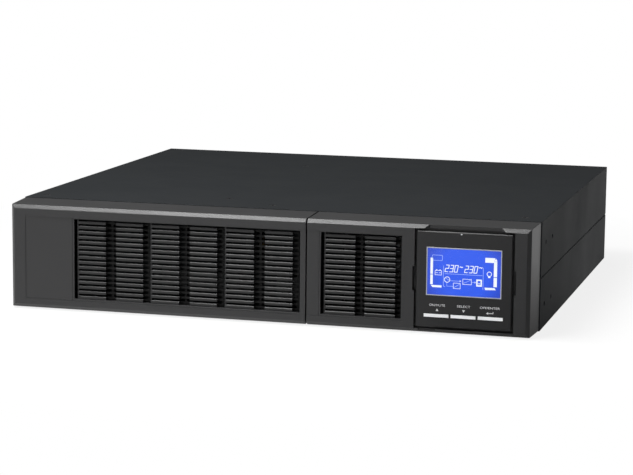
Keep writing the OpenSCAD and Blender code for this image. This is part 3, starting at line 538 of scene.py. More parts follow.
sinkAluminium = metalMaterial("sinkAluminium", {
    "color": (0.55, 0.56, 0.57), "patchColor": (0.65, 0.66, 0.67), "stretch": (1200.0, 30.0, 1200.0),
    "rough": (0.35, 0.5), "depth": 0.00004,
})
clearLight = coatedMaterial("clearLight", {
    "color": (0.75, 0.78, 0.8), "patchColor": (0.8, 0.83, 0.85), "fine": 3000.0, "patches": 90.0,
    "rough": (0.1, 0.2), "depth": 0.00001,
})


def makeWindowGlass():
    material, tree, shader = startMaterial("windowGlass")
    shader.inputs["Base Color"].default_value = white
    shader.inputs["Transmission Weight"].default_value = 1.0
    shader.inputs["IOR"].default_value = 1.3
    grain = placeGroup(tree, surfaceGrain, Fine=1200.0, Patches=50.0)
    rough = rangeNode(tree, grain.outputs["Patch"], 0.0, 1.0, 0.01, 0.03)
    tree.links.new(rough, shader.inputs["Roughness"])
    return material


lit = {
    "fade": (0.020, 0.040),  # distances from the middle between which the blue deepens
    "glow": ((0.008, 0.088, 0.84), (0.006, 0.032, 0.42)),  # middle and corners
    "base": ((0.01, 0.02, 0.1), (0.008, 0.015, 0.08)),
    "strength": 0.95,
}


def makeLitDisplay():
    material, tree, shader = startMaterial("litDisplay")
    low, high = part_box("lcd_panel")
    place = objectPlace(tree)
    offset = addNode(tree, "ShaderNodeVectorMath", operation="SUBTRACT")
    offset.inputs[1].default_value = (low + high) / 2
    tree.links.new(place, offset.inputs[0])
    far = addNode(tree, "ShaderNodeVectorMath", operation="LENGTH")
    tree.links.new(offset.outputs[0], far.inputs[0])
    falloff = rangeNode(tree, far.outputs["Value"], *lit["fade"])
    tree.links.new(mixColors(tree, falloff, *lit["glow"]), shader.inputs["Emission Color"])
    tree.links.new(mixColors(tree, falloff, *lit["base"]), shader.inputs["Base Color"])
    shader.inputs["Emission Strength"].default_value = lit["strength"]
    shader.inputs["Roughness"].default_value = 0.4
    return material


def makeLitSegment(name, low, high):
    material, tree, shader = startMaterial(name)
    grain = placeGroup(tree, surfaceGrain, Fine=900.0, Patches=200.0)
    tree.links.new(mixColors(tree, grain.outputs["Patch"], low, high), shader.inputs["Emission Color"])
    shader.inputs["Base Color"].default_value = (0.1, 0.1, 0.1, 1)
    shader.inputs["Emission Strength"].default_value = lit["strength"]
    return material


windowGlass = makeWindowGlass()
litDisplay = makeLitDisplay()
litSegment = makeLitSegment("litSegment", (0.86, 0.93, 1.0), (0.95, 0.98, 1.0))
faintSegment = makeLitSegment("faintSegment", (0.30, 0.44, 0.98), (0.38, 0.52, 1.0))
print("materials ready")


# CAD pieces whose outer edges get a small radius; edges that meet one shorter than nearest stay sharp
softening = {"weld": 2e-6, "flat": 0.5, "sharp": 38, "nearest": 0.9, "shading": 20}


def softMesh(node, width):
    bm = bmesh.new()
    bm.from_mesh(nodes[node].data)
    bmesh.ops.remove_doubles(bm, verts=bm.verts, dist=softening["weld"])
    flat = math.radians(softening["flat"])
    bmesh.ops.dissolve_limit(bm, angle_limit=flat, verts=bm.verts, edges=bm.edges)
    crowded = {v for e in bm.edges if e.calc_length() < softening["nearest"] * mm for v in e.verts}
    least = math.radians(softening["sharp"])
    sharp = [e for e in bm.edges if e.is_manifold and e.is_convex and e.calc_face_angle(0) > least]
    chosen = [e for e in sharp if e.verts[0] not in crowded and e.verts[1] not in crowded]
    bmesh.ops.bevel(bm, geom=chosen, offset=width * mm, segments=2, profile=0.5, affect="EDGES")
    mesh = bpy.data.meshes.new(node + "Skin")
    bm.to_mesh(mesh)
    bm.free()
    return mesh


def newPiece(name, mesh, body, material, smooth=35):
    piece = addObject(name, mesh)
    mesh.materials.clear()
    mesh.materials.append(material)
    mesh.shade_smooth()
    mesh.set_sharp_from_angle(angle=math.radians(smooth))
    evened = piece.modifiers.new("normals", "WEIGHTED_NORMAL")
    evened.keep_sharp = True
    evened.weight = 100
    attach(piece, body)
    return piece


slots = {row["node"]: row["material_slot"] for row in frame["record"]["subparts"]}


def soften(node, width, material):
    mesh = softMesh(node, width)
    body, slot = nodes[node]["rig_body"], slots[node]
    piece = newPiece(node + "_skin", mesh, body, material, softening["shading"])
    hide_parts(node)


softEdges = {
    "right_bezel": (0.2, frontPlastic), "battery_cover": (0.35, frontPlastic),
    "display_face": (0.25, displayPlastic), "up_button": (0.2, buttonSilver),
    "down_button": (0.2, buttonSilver), "enter_button": (0.2, buttonSilver),
    "top_cover": (0.4, casePaint), "bottom_chassis": (0.35, casePaint),
    "rear_panel": (0.2, casePaint), "port_panel": (0.2, casePaint), "tray_plate": (0.25, casePaint),
    "outlet_bank": (0.3, blackParts), "ac_inlet": (0.3, blackParts),
    "network_jacks": (0.2, blackParts), "fan_frame": (0.2, blackParts),
    "slot_cover": (0.2, casePaint),
}
for nodeName, (width, material) in softEdges.items():
    soften(nodeName, width, material)

finishes = {
    "front_plate": casePaint, "right_grille": louvrePlastic, "cover_grilles": louvrePlastic,
    "bay_wall": zincSteel, "ear_nuts": zincSteel, "inlet_pins": zincSteel,
    "usb_port": zincSteel, "serial_port": zincSteel, "thumb_screws": zincSteel, "battery_tray": zincSteel,
    "cover_clips": frontPlastic, "cover_screws": darkScrew, "fan_screws": darkScrew,
    "panel_screws": darkScrew, "fan_rotor": blackParts,
    "power_board": boardGreen, "control_board": boardGreen, "display_board": boardGreen,
    "board_standoffs": brassMetal, "battery_terminals": brassMetal, "ground_screw": brassMetal,
    "heatsinks": sinkAluminium, "power_transistors": blackParts, "relays": blackParts,
    "breaker_body": blackParts, "breaker_nut": blackParts, "reset_button": blackParts,
    "battery_socket": blackParts, "bus_capacitors": capacitorSleeve, "transformer": ferrite,
    "epo_socket": greenPlug,
    "battery_plates": ferrite, "battery_lead": leadRubber,
    "pull_strap": strapPlastic, "display_drum": displayPlastic, "cable_bush": displayPlastic,
    "display_lead": ribbonGrey, "display_window": windowGlass, "lcd_panel": litDisplay,
    "status_light": clearLight,
}
for nodeName, material in finishes.items():
    target = nodes[nodeName]
    target.data.materials.clear()
    target.data.materials.append(material)
print("CAD pieces finished")


# mesh builders, in metres in the shared frame
def addBox(bm, low, high, edge=0.0, segments=2):
    low, high = Vector(low), Vector(high)
    middle, size = (low + high) / 2, high - low
    made = bmesh.ops.create_cube(bm, size=1.0)["verts"]
    for v in made:
        v.co = Vector((v.co.x * size.x, v.co.y * size.y, v.co.z * size.z)) + middle
    if edge:
        around = list({e for v in made for e in v.link_edges})
        bmesh.ops.bevel(bm, geom=around, offset=edge, segments=segments, profile=0.5, affect="EDGES")


def addPrism(bm, outline, near, far):  # outline of (x, z), drawn through the depth
    front = [bm.verts.new((x, near, z)) for x, z in outline]
    rear = [bm.verts.new((x, far, z)) for x, z in outline]
    made = [bm.faces.new(front), bm.faces.new(rear)]
    count = len(outline)
    for i in range(count):
        j = (i + 1) % count
        made.append(bm.faces.new((front[i], front[j], rear[j], rear[i])))
    bmesh.ops.recalc_face_normals(bm, faces=made)


def joinRings(bm, rings):  # a band of faces between each ring of points and the next
    made = []
    for a, b in zip(rings, rings[1:]):
        count = len(a)
        for k in range(count):
            made.append(bm.faces.new((a[k], a[(k + 1) % count], b[(k + 1) % count], b[k])))
    return made


def addTube(bm, points, radius, sides=12, closed=False):
    points = [Vector(p) for p in points]
    count = len(points)
    side = None
    rings = []
    for i, point in enumerate(points):
        before = points[i - 1] if closed or i else points[0]
        after = points[(i + 1) % count] if closed or i < count - 1 else points[-1]
        along = (after - before).normalized()
        if side is None:
            side = along.orthogonal().normalized()
        side = (side - along * side.dot(along)).normalized()
        up = along.cross(side)
        ring = []
        for k in range(sides):
            angle = 2 * math.pi * k / sides
            ring.append(bm.verts.new(point + radius * (math.cos(angle) * side + math.sin(angle) * up)))
        rings.append(ring)
    made = []
    for i in range(count if closed else count - 1):
        a, b = rings[i], rings[(i + 1) % count]
        shift = 0
        if closed and i == count - 1:  # the last ring meets the first where its points lie nearest
            shift = min(range(sides), key=lambda k: (b[k].co - a[0].co).length)
        for k in range(sides):
            j = (k + 1) % sides
            made.append(bm.faces.new((a[k], a[j], b[(j + shift) % sides], b[(k + shift) % sides])))
    if not closed:
        made += [bm.faces.new(rings[0]), bm.faces.new(rings[-1])]
    bmesh.ops.recalc_face_normals(bm, faces=made)


def circlePoints(center, radius, axis="Y", count=64):
    points = []
    for k in range(count):
        angle = 2 * math.pi * k / count
        a, b = radius * math.cos(angle), radius * math.sin(angle)
        offset = {"X": (0, a, b), "Y": (a, 0, b), "Z": (a, b, 0)}[axis]
        points.append(Vector(center) + Vector(offset))
    return points


def addTurned(bm, center, profile, axis="Y", around=48):  # profile of (radius, distance along the axis)
    rings = []
    for radius, along in profile:
        ring = []
        for k in range(around):
            angle = 2 * math.pi * k / around
            a, b = radius * math.cos(angle), radius * math.sin(angle)
            offset = {"X": (along, a, b), "Y": (a, along, b), "Z": (a, b, along)}[axis]
            ring.append(bm.verts.new(Vector(center) + Vector(offset)))
        rings.append(ring)
    made = joinRings(bm, rings)
    made += [bm.faces.new(rings[0]), bm.faces.new(rings[-1])]
    bmesh.ops.recalc_face_normals(bm, faces=made)


def closePiece(name, bm, body, material, smooth=35):
    mesh = bpy.data.meshes.new(name)
    bm.to_mesh(mesh)
    bm.free()
    return newPiece(name, mesh, body, material, smooth)


printDepth = 0.00004


# words of a given height; without a width the letters keep their own shape
def addLettering(bm, words, middle, height, width=None, turned=False):
    curve = bpy.data.curves.new("lettering", "FONT")
    curve.body = words
    curve.align_x, curve.align_y = "CENTER", "CENTER"
    curve.resolution_u = 3
    curve.extrude = 0.5
    holder = addObject("lettering", curve)
    bpy.context.view_layer.update()
    mesh = bpy.data.meshes.new_from_object(holder.evaluated_get(bpy.context.evaluated_depsgraph_get()))
    bpy.data.objects.remove(holder)
    xs, ys = [v.co.x for v in mesh.vertices], [v.co.y for v in mesh.vertices]
    wide, tall = max(xs) - min(xs), max(ys) - min(ys)
    shiftX, shiftY = (max(xs) + min(xs)) / 2, (max(ys) + min(ys)) / 2
    side = -1 if turned else 1
    for v in mesh.vertices:
        x = (v.co.x - shiftX) * (width / wide if width else height / tall) * side
        z = (v.co.y - shiftY) * height / tall
        v.co = Vector(middle) + Vector((x, -side * v.co.z * printDepth * 2, z))
    bm.from_mesh(mesh)
    bpy.data.meshes.remove(mesh)


# display: a pale trim round the glass, printed segments behind it, and the words over the buttons
windowLow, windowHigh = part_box("display_window")
windowMid = (windowLow + windowHigh) / 2
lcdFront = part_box("lcd_panel")[0].y

trim = {"out": 0.7, "proud": 0.14, "lip": 0.35, "clear": 0.08, "round": (0.12, 0.15), "sunk": (0.05, 0.02)}


def makeTrim():
    bm = bmesh.new()
    half = (windowHigh - windowLow) / 2
    # section across the trim: distance outwards from the glass, and depth from the face
    inner, outer, proud = -trim["clear"] * mm, trim["out"] * mm, -trim["proud"] * mm
    roundIn, roundOut = trim["round"]
    sunkIn, sunkOut = trim["sunk"]
    section = [(inner, trim["lip"] * mm), (inner, -sunkIn * mm), (roundIn * mm, proud),
               (outer - roundOut * mm, proud), (outer, sunkOut * mm)]
    corners = [(-1, -1), (1, -1), (1, 1), (-1, 1)]
    rings = []
    for out, deep in section:
        ring = []
        for sx, sz in corners:
            x, z = windowMid.x + sx * (half.x + out), windowMid.z + sz * (half.z + out)
            ring.append(bm.verts.new((x, faceFront + deep, z)))
        rings.append(ring)
    made = joinRings(bm, rings + [rings[0]])  # the last band is the hidden back
    bmesh.ops.recalc_face_normals(bm, faces=made)
    closePiece("window_trim", bm, "display", trimSilver, 20)


# places on the glass in millimetres from its middle
lcd = {
    "thin": 0.34,
    "sheet": 0.07,
    "leftBars": [(-26.9, -24.9, -2.2, 10.6), (-26.9, -24.9, -10.4, -2.7)],
    "leftFoot": [(-26.6, -11.0), (-17.8, -11.0), (-17.8, -12.7), (-25.0, -12.7)],
    "emptyTop": [(-25.2, 12.9), (-17.9, 12.9), (-17.5, 12.4), (-17.5, 9.2), (-17.9, 8.7), (-24.6, 8.7),
                 (-25.9, 11.0)],
    "rightBars": [(23.5, 26.1, -2.1, 10.0), (23.5, 26.1, -10.0, -2.6)],
    "rightTop": [(16.6, 12.8), (24.6, 12.8), (23.2, 9.0), (16.6, 9.0)],
    "rightKnee": [(25.1, 12.5), (26.1, 10.6), (26.1, 10.2), (23.6, 10.2)],
    "rightFoot": [(16.4, -10.8), (24.2, -10.8), (25.4, -12.4), (16.9, -12.7)],
    "digits": {"text": "230", "height": 5.3, "width": 2.35, "pitch": 3.65, "bar": 0.56, "lean": 0.2,
               "places": [(-15.3, 0.15), (0.3, 0.2)]},
    "waves": [(-2.3, 4.3), (13.2, 4.6)],
    "wave": [(-1.1, -0.1), (-0.4, 0.3), (0.4, -0.3), (1.1, 0.1)],
    "waveWidth": 0.55,
    "lines": [
        [(-16.4, 4.7), (-16.4, -10.6), (-16.1, -11.6), (-15.2, -12.0)],
        [(-15.2, -1.5), (14.6, -1.5)],
        [(15.2, 4.6), (15.2, -12.5)],
        [(-11.1, -6.9), (-2.6, -6.9)],
        [(6.4, -7.2), (9.3, -7.2)],
        [(-13.6, -8.6), (-13.6, -11.3), (-8.7, -11.3)],
        [(-14.6, -5.5), (-13.9, -4.9), (-13.2, -6.0), (-12.5, -6.6), (-11.9, -5.8)],
        [(-0.4, -8.4), (5.4, -5.6)],
        [(-8.0, -12.3), (-3.3, -9.2)],
    ],
    "arrows": [(-2.4, -6.9), (9.4, -7.2)],
    "arrow": [(-0.9, 0.75), (0.3, 0.0), (-0.9, -0.75)],
    "ring": (-13.4, -6.1, 2.15),
    "boxes": [(-0.9, 5.9, -9.2, -5.0), (-8.4, -2.9, -12.9, -8.6)],
    "load": (9.8, 14.3, -10.3, -4.7),
    "loadWall": 1.1,
    "loadBar": (1.7, 1.8, 2.6),  # inset at the sides, and its lower and upper edge
    "battery": (-23.1, -18.0, -2.8, 0.7),
    "knob": (1.2, 0.5, 0.15, 0.75),  # inset, half its width, and its lower and upper edge over the cell
    "bulb": (20.0, 0.0, 1.75),
    "foot": (0.9, 3.0, 1.7),  # of the bulb: half its width, and how far its edges are below the middle
}


def onGlass(x, z):
    return windowMid.x + x * mm, windowMid.z + z * mm


def addPatch(bm, outline):
    addPrism(bm, [onGlass(x, z) for x, z in outline], lcdFront - lcd["sheet"] * mm, lcdFront + 0.02 * mm)


def addBars(bm, boxes):
    for x0, x1, z0, z1 in boxes:
        addPatch(bm, [(x0, z0), (x1, z0), (x1, z1), (x0, z1)])


def addStroke(bm, points, width, closed=False):
    last = len(points) if closed else len(points) - 1
    for i in range(last):
        a, b = Vector(points[i]), Vector(points[(i + 1) % len(points)])
        along = (b - a).normalized() * width / 2
        across = Vector((-along.y, along.x))
        addPatch(bm, [a - along + across, b + along + across, b + along - across, a - along - across])


# seven bars: top, upper left, upper right, middle, lower left, lower right, bottom
digitBars = {"2": "1011101", "3": "1011011", "0": "1110111", "5": "1101011"}


def addDigit(bm, sign, x, z, facts):
    w, h, t, lean = facts["width"], facts["height"], facts["bar"], facts["lean"]
    half = h / 2
    places = [((0, h), (w, h)), ((0, half), (0, h)), ((w, half), (w, h)), ((0, half), (w, half)),
              ((0, 0), (0, half)), ((w, 0), (w, half)), ((0, 0), (w, 0))]
    for lit, (a, b) in zip(digitBars[sign], places):
        if lit == "1":
            a, b = Vector(a), Vector(b)
            step = (b - a).normalized() * 0.18
            ends = [Vector((x + p.x + lean * p.y, z + p.y)) for p in (a + step, b - step)]
            addStroke(bm, ends, t)


def makeSegments():
    bright, thin = bmesh.new(), bmesh.new()
    addBars(bright, lcd["leftBars"] + lcd["rightBars"])
    for name in ("leftFoot", "rightTop", "rightKnee", "rightFoot"):
        addPatch(bright, lcd[name])
    facts = lcd["digits"]
    for x, z in facts["places"]:
        for i, sign in enumerate(facts["text"]):
            addDigit(bright, sign, x + i * facts["pitch"], z, facts)
    for x, z in lcd["waves"]:
        wave = [(x + dx, z + dz) for dx, dz in lcd["wave"]]
        addStroke(bright, wave, lcd["waveWidth"])
    x0, x1, z0, z1 = lcd["load"]
    wall = lcd["loadWall"]
    inset, low, high = lcd["loadBar"]
    addBars(bright, [(x0, x1, z0, z0 + wall), (x0, x1, z1 - wall, z1), (x0, x0 + wall, z0 + wall, z1 - wall),
                     (x1 - wall, x1, z0 + wall, z1 - wall), (x0 + inset, x1 - inset, z0 + low, z0 + high)])
    for x, z in lcd["arrows"]:
        addPatch(bright, [(x + dx, z + dz) for dx, dz in lcd["arrow"]])
    x, z, r = lcd["bulb"]
    half, low, high = lcd["foot"]
    addBars(bright, [(x - half, x + half, z - low, z - high)])
    lines = [(path, False) for path in lcd["lines"]]
    lines.append((lcd["emptyTop"], True))
    for path, closed in lines:
        addStroke(thin, path, lcd["thin"], closed)
    for x0, x1, z0, z1 in lcd["boxes"] + [lcd["battery"]]:
        addStroke(bright, [(x0, z0), (x1, z0), (x1, z1), (x0, z1)], lcd["thin"], True)
    x0, x1, z0, z1 = lcd["battery"]
    inset, half, low, high = lcd["knob"]
    for x in (x0 + inset, x1 - inset):
        addBars(bright, [(x - half, x + half, z1 + low, z1 + high)])
        addStroke(bright, [(x - 0.6, (z0 + z1) / 2), (x + 0.6, (z0 + z1) / 2)], lcd["thin"])
    for x, z, r in (lcd["ring"], lcd["bulb"]):
        turns = [a * math.pi / 12 for a in range(24)]
        circle = [(x + r * math.cos(a), z + r * math.sin(a)) for a in turns]
        addStroke(bright, circle, lcd["thin"] + 0.1, True)
    closePiece("lcd_bars", bright, "display", litSegment)
    closePiece("lcd_lines", thin, "display", faintSegment)


labels = {
    "words": [("ON/MUTE", -20.9, 12.7), ("SELECT", 0.3, 10.6), ("OFF/ENTER", 21.2, 15.8)],
    "drop": 26.8,  # from the middle of the glass down to the words
    "height": 1.75,
    "signDrop": 30.6,
    "signs": [  # a triangle up, a triangle down, and a bent arrow made of its tail and its head
        [[(-1.15, -0.95), (1.15, -0.95), (0, 1.1)]],
        [[(-1.15, 1.0), (1.15, 1.0), (0, -1.05)]],
        [[(-1.4, -0.15), (2.3, -0.15), (2.3, 0.95), (2.8, 0.95), (2.8, -0.65), (-1.4, -0.65)],
         [(-1.3, 0.55), (-1.3, -1.35), (-2.9, -0.4)]],
    ],
}


def makeLabels():
    bm = bmesh.new()
    y = faceFront - 0.03 * mm
    for words, x, width in labels["words"]:
        middle = (windowMid.x + x * mm, y, windowMid.z - labels["drop"] * mm)
        addLettering(bm, words, middle, labels["height"] * mm, width * mm)
    for row, signs in zip(labels["words"], labels["signs"]):
        for outline in signs:
            points = [(windowMid.x + (row[1] + dx) * mm, windowMid.z + (dz - labels["signDrop"]) * mm)
                      for dx, dz in outline]
            addPrism(bm, points, y - 0.03 * mm, faceFront + 0.02 * mm)
    closePiece("button_words", bm, "display", printWhite)


trimSilver = coatedMaterial("trimSilver", {
    "color": (0.36, 0.37, 0.40), "patchColor": (0.42, 0.43, 0.46), "fine": 4000.0, "patches": 70.0,
    "wear": 0.2, "wearRadius": 0.0002, "wearColor": (0.7, 0.7, 0.72), "rough": (0.3, 0.4), "depth": 0.00001,
})
printWhite = coatedMaterial("printWhite", {
    "color": (0.62, 0.62, 0.63), "patchColor": (0.72, 0.72, 0.73), "fine": 3500.0, "patches": 300.0,
    "rough": (0.45, 0.6), "depth": 0.00001,
})
makeTrim()
makeSegments()
makeLabels()
print("display ready")


# rear: round-wire fan guard, outlet collars and contacts, jack springs, printed words
guardLow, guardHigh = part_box("fan_guard")
backY = guardLow.y
guard = {
    "rings": (10, 18, 26, 34), "wire": 1.0, "ringOut": 2.4,
    "spoke": 0.9, "spokeOut": 0.95, "hole": 35.75, "eye": 3.2, "eyeWire": 0.94,
}


def makeFanGuard():
    bm = bmesh.new()
    mid = (guardLow + guardHigh) / 2
    for radius in guard["rings"]:
        center = (mid.x, backY + guard["ringOut"] * mm, mid.z)
        addTube(bm, circlePoints(center, radius * mm, count=72), guard["wire"] * mm, 10, closed=True)
    reach = (guard["hole"] * math.sqrt(2) - guard["eye"]) * mm / math.sqrt(2)
    y = backY + guard["spokeOut"] * mm
    for side in (-1, 1):
        ends = [(mid.x - reach, y, mid.z - side * reach), (mid.x + reach, y, mid.z + side * reach)]
        addTube(bm, ends, guard["spoke"] * mm, 12)
    for sx in (-1, 1):
        for sz in (-1, 1):
            eye = (mid.x + sx * guard["hole"] * mm, y, mid.z + sz * guard["hole"] * mm)
            points = circlePoints(eye, guard["eye"] * mm, count=32)
            addTube(bm, points, guard["eyeWire"] * mm, 10, closed=True)
    piece = closePiece("fan_guard_wires", bm, "chassis", zincSteel, 60)
    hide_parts("fan_guard")


bankLow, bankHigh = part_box("outlet_bank")
outlets = {
    "pitch": (30, 33), "columns": 4, "opening": (25.2, 18.2, 4.4), "collar": 1.3, "proud": 0.5,
    "contacts": [(-7, -1.8), (7, -1.8), (0, 2.0)], "leaf": (0.35, 5.0, 3.6), "apart": 0.75, "deep": 4.5,
}


def couplerOutline(x, z, w, h, cut):
    points = [(-w / 2, -h / 2), (w / 2, -h / 2), (w / 2, h / 2 - cut),
              (w / 2 - cut, h / 2), (-w / 2 + cut, h / 2), (-w / 2, h / 2 - cut)]
    return [(x + px * mm, z + pz * mm) for px, pz in points]


def outletPlaces():
    mid = (bankLow + bankHigh) / 2
    pitchX, pitchZ = outlets["pitch"]
    for j in (1, 0):
        for i in range(outlets["columns"]):
            yield mid.x + (1.5 - i) * pitchX * mm, mid.z + (j - 0.5) * pitchZ * mm


def makeOutlets():
    collars, leaves = bmesh.new(), bmesh.new()
    w, h, cut = outlets["opening"]
    lip = outlets["collar"]
    face = bankHigh.y
    for x, z in outletPlaces():
        # section round the opening: grow of the outline, and height over the face
        proud = outlets["proud"]
        section = [(0.0, -1.2), (0.0, 0.2), (0.3, proud), (lip - 0.4, proud), (lip, -0.05)]
        rings = []
        for grow, up in section:
            outline = couplerOutline(x, z, w + 2 * grow, h + 2 * grow, cut + 0.4 * grow)
            rings.append([collars.verts.new((px, face + up * mm, pz)) for px, pz in outline])
        made = joinRings(collars, rings + [rings[0]])
        bmesh.ops.recalc_face_normals(collars, faces=made)
        thick, tall, long = outlets["leaf"]
        for cx, cz in outlets["contacts"]:
            for side in (-1, 1):
                lx, lz = x + (cx + side * outlets["apart"]) * mm, z + cz * mm
                low = (lx - thick / 2 * mm, face - (outlets["deep"] + tall) * mm, lz - long / 2 * mm)
                high = (lx + thick / 2 * mm, face - outlets["deep"] * mm, lz + long / 2 * mm)
                addBox(leaves, low, high, 0.1 * mm, 1)
    closePiece("outlet_collars", collars, "chassis", blackParts, 30)
    closePiece("outlet_leaves", leaves, "chassis", brassMetal)


jackLow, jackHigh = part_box("network_jacks")
usbLow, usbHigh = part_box("usb_port")
springs = {
    "count": 8, "pitch": 1.02, "wire": 0.2, "jacks": 8.1,
    "path": [(1.2, 4.6), (2.4, 4.5), (6.0, 2.9), (9.5, 1.6), (13.4, 1.3)],  # depth in, and height
    "usb": {"count": 4, "pitch": 1.1, "rise": 1.65, "leaf": (0.25, 0.1), "depth": (9, 1.4)},
}


def makeJackSprings():
    bm = bmesh.new()
    mid = (jackLow + jackHigh) / 2
    for side in (-1, 1):
        for i in range(springs["count"]):
            x = mid.x + (side * springs["jacks"] + (i - 3.5) * springs["pitch"]) * mm
            path = [(x, backY - deep * mm, mid.z + rise * mm) for deep, rise in springs["path"]]
            addTube(bm, path, springs["wire"] * mm, 6)
    usb, facts = (usbLow + usbHigh) / 2, springs["usb"]
    wide, tall = facts["leaf"]
    inner, outer = facts["depth"]
    for i in range(facts["count"]):
        x = usb.x + (i - 1.5) * facts["pitch"] * mm
        for side in (-1, 1):
            z = usb.z + side * facts["rise"] * mm
            low = (x - wide * mm, backY - inner * mm, z - tall * mm)
            high = (x + wide * mm, backY - outer * mm, z + tall * mm)
            addBox(bm, low, high, 0.05 * mm, 1)
    closePiece("jack_springs", bm, "chassis", brassMetal, 60)


jackLight = {"size": (2.4, 1.6), "drop": 5.6, "side": 4.9, "sunk": 0.4, "proud": 0.15}


def makeJackLights():
    bm = bmesh.new()
    mid = (jackLow + jackHigh) / 2
    w, h = jackLight["size"]
    for side in (-1, 1):
        for end in (-1, 1):
            x = mid.x + (side * springs["jacks"] + end * jackLight["side"]) * mm
            z = mid.z - jackLight["drop"] * mm
            low = (x - w / 2 * mm, jackHigh.y - jackLight["sunk"] * mm, z - h / 2 * mm)
            high = (x + w / 2 * mm, jackHigh.y + jackLight["proud"] * mm, z + h / 2 * mm)
            addBox(bm, low, high, 0.15 * mm)
    closePiece("jack_lights", bm, "chassis", clearLight)


# words, the node they stand by, their distance above or below it, and their height
rearWords = [
    ("INPUT", "ac_inlet", 4.0, 2.4), ("RESET", "breaker_nut", -4.2, 2.0), ("USB", "usb_port", 4.0, 2.2),
    ("COM", "serial_port", 3.4, 2.2), ("EPO", "epo_socket", 4.2, 2.2), ("LAN", "network_jacks", 2.2, 2.2),
]
figures = {"place": (12.6, 7.9), "height": 2.6}
ground = {"stem": 3.0, "bars": ((3.6, 0.0), (2.4, -1.1), (1.2, -2.2)), "thick": 0.5, "rise": 6}


def makeRearWords():
    bm = bmesh.new()
    lift = 0.03 * mm
    for words, node, rise, height in rearWords:
        low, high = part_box(node)
        z = high.z + rise * mm if rise > 0 else low.z + rise * mm
        addLettering(bm, words, ((low.x + high.x) / 2, backY + lift, z), height * mm, turned=True)
    right, up = figures["place"]
    for count, (x, z) in enumerate(outletPlaces(), 1):
        place = (x + right * mm, bankHigh.y + lift, z + up * mm)
        addLettering(bm, str(count), place, figures["height"] * mm, turned=True)
    low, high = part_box("ground_screw")
    x, z, t = (low.x + high.x) / 2, high.z + ground["rise"] * mm, ground["thick"] * mm / 2
    top = z + ground["stem"] * mm
    near, far = backY - 0.02 * mm, backY + 0.06 * mm
    addPrism(bm, [(x - t, z), (x + t, z), (x + t, top), (x - t, top)], near, far)
    for width, drop in ground["bars"]:
        half, bar = width / 2 * mm, z + drop * mm
        outline = [(x - half, bar - t), (x + half, bar - t), (x + half, bar + t), (x - half, bar + t)]
        addPrism(bm, outline, near, far)
    closePiece("rear_words", bm, "chassis", printWhite)


makeFanGuard()
makeOutlets()
makeJackSprings()
makeJackLights()
makeRearWords()
print("rear ready")


# battery blocks: tubs with lids on the right, each with a raised strip
casesLow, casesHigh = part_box("battery_cases")
blocks = {
    "long": 151, "wide": 94, "gap": 4, "lid": 12, "groove": 0.8, "step": 0.7, "corner": 2.2,
    "strip": {"proud": 0.5, "wide": 30, "clear": 26, "thick": 1.2},
    "ribs": {"count": 5, "half": 5, "ends": (10, 8), "sunk": 0.5, "proud": 0.45},
    "small": 0.4,  # edge radius of the strips and ribs
}


def blockBoxes():
    long, wide, gap = (blocks[key] * mm for key in ("long", "wide", "gap"))
    x, y, z0, z1 = casesLow.x, casesLow.y, casesLow.z, casesHigh.z
    yield Vector((x, y, z0)), Vector((x + wide, y + long, z1))
    yield Vector((x + wide + gap, y, z0)), Vector((x + 2 * wide + gap, y + long, z1))
    yield Vector((x, y + long + gap, z0)), Vector((x + long, y + long + gap + wide, z1))


def fixOrder(bm):  # the bevel here leaves its points in an order that changes from run to run
    for parts, place in ((bm.verts, lambda v: v.co), (bm.faces, lambda f: f.calc_center_median())):
        rank = {part: i for i, part in enumerate(sorted(parts, key=lambda part: tuple(place(part))))}
        parts.sort(key=lambda part: rank[part])


def makeBatteries():
    bm, tops = bmesh.new(), bmesh.new()
    step, groove, lid = blocks["step"] * mm, blocks["groove"] * mm, blocks["lid"] * mm
    corner, small = blocks["corner"] * mm, blocks["small"] * mm
    strip, ribs = blocks["strip"], blocks["ribs"]
    inset = Vector((0, step, step))
    for low, high in blockBoxes():
        split = high.x - lid
        addBox(bm, low + inset, (split, high.y - step, high.z - step), corner, 3)
        neckLow = (split - groove, low.y + 3 * step, low.z + 3 * step)
        addBox(bm, neckLow, (split + 2 * groove, high.y - 3 * step, high.z - 3 * step))
        lidHigh = (high.x - strip["proud"] * mm, high.y, high.z)
        addBox(bm, (split + groove, low.y, low.z), lidHigh, corner, 3)
        # raised strip between the terminals
        mid = (low + high) / 2
        half, across = (high.y - low.y) / 2 - strip["clear"] * mm, strip["wide"] / 2 * mm
        stripLow = (high.x - strip["thick"] * mm, mid.y - half, mid.z - across)
        addBox(tops, stripLow, (high.x, mid.y + half, mid.z + across), small)
        # shallow stiffening ribs on the upper face
        top, start, end = high.z - step, low.x + ribs["ends"][0] * mm, split - ribs["ends"][1] * mm
        for i in range(ribs["count"]):
            y = low.y + (i + 0.5) * (high.y - low.y) / ribs["count"]
            ribLow = (start, y - ribs["half"] * mm, top - ribs["sunk"] * mm)
            addBox(tops, ribLow, (end, y + ribs["half"] * mm, top + ribs["proud"] * mm), small)
    fixOrder(bm)
    piece = closePiece("battery_tubs", bm, "battery_pack", batteryCase)
    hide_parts("battery_cases")
    closePiece("battery_strips", tops, "battery_pack", batteryCase)


makeBatteries()
print("battery ready")


# copper turns on the inductors and the choke, and metal tops on the capacitors
coils = {  # turns, wire, ring radius, tube radius, and how much thinner the core is
    "inductor": (22, 1.0, 13.4, 6.8, 2.1), "choke": (18, 0.9, 9.5, 4.8, 1.9),
}


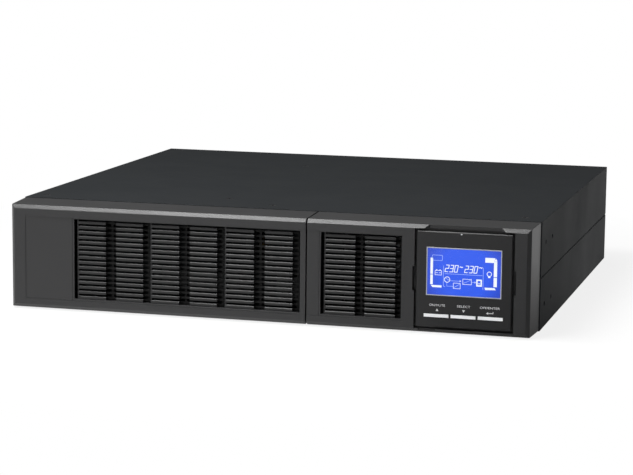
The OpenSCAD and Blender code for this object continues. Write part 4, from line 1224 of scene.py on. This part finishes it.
def addToroid(bm, center, axis, ring, tube, turns, wire):
    for k in range(turns):
        angle = 2 * math.pi * k / turns + 0.4
        a, b = math.cos(angle), math.sin(angle)
        points = []
        for q in range(16):
            t = 2 * math.pi * q / 16
            reach, rise = ring + (tube - wire) * math.cos(t), (tube - wire) * math.sin(t)
            offset = (a * reach, b * reach, rise) if axis == "Z" else (rise, a * reach, b * reach)
            points.append(Vector(center) + Vector(offset) * mm)
        addTube(bm, points, wire * mm, 6, closed=True)


def makeCoils():
    low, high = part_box("inductors")
    bm, cores = bmesh.new(), bmesh.new()
    turns, wire, ring, tube, slim = coils["inductor"]
    outer = (ring + tube) * mm
    for y in (low.y + outer, high.y - outer):
        center = ((low.x + high.x) / 2, y, (low.z + high.z) / 2)
        addToroid(bm, center, "Z", ring, tube, turns, wire)
        addTube(cores, circlePoints(center, ring * mm, "Z", 40), (tube - slim) * mm, 16, closed=True)
    piece = closePiece("inductor_turns", bm, "chassis", copperWinding, 60)
    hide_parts("inductors")
    low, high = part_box("filter_choke")
    bm = bmesh.new()
    turns, wire, ring, tube, slim = coils["choke"]
    center = (low + high) / 2
    addToroid(bm, center, "X", ring, tube, turns, wire)
    addTube(cores, circlePoints(center, ring * mm, "X", 40), (tube - slim) * mm, 16, closed=True)
    piece = closePiece("choke_turns", bm, "chassis", copperWinding, 60)
    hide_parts("filter_choke")
    closePiece("coil_cores", cores, "chassis", ferrite, 60)


capacitors = {
    "rows": 3, "columns": 2, "pitch": 28, "radius": 12.5,
    "top": {"rim": 1.0, "round": 1.4, "low": 0.6, "lip": 0.05, "eye": 1.0},
}


def makeCapacitorTops():
    bm = bmesh.new()
    low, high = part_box("bus_capacitors")
    r, pitch, top = capacitors["radius"], capacitors["pitch"], capacitors["top"]
    rim, eye = (r - top["rim"]) * mm, top["eye"] * mm
    profile = [(rim, -top["low"] * mm), (rim, -top["lip"] * mm), ((r - top["round"]) * mm, 0.0), (eye, 0.0)]
    for i in range(capacitors["rows"]):
        for j in range(capacitors["columns"]):
            center = (low.x + (r + j * pitch) * mm, low.y + (r + i * pitch) * mm, high.z)
            addTurned(bm, center, profile, "Z", 40)
    closePiece("capacitor_tops", bm, "chassis", sinkAluminium)


makeCoils()
makeCapacitorTops()
print("electronics ready")
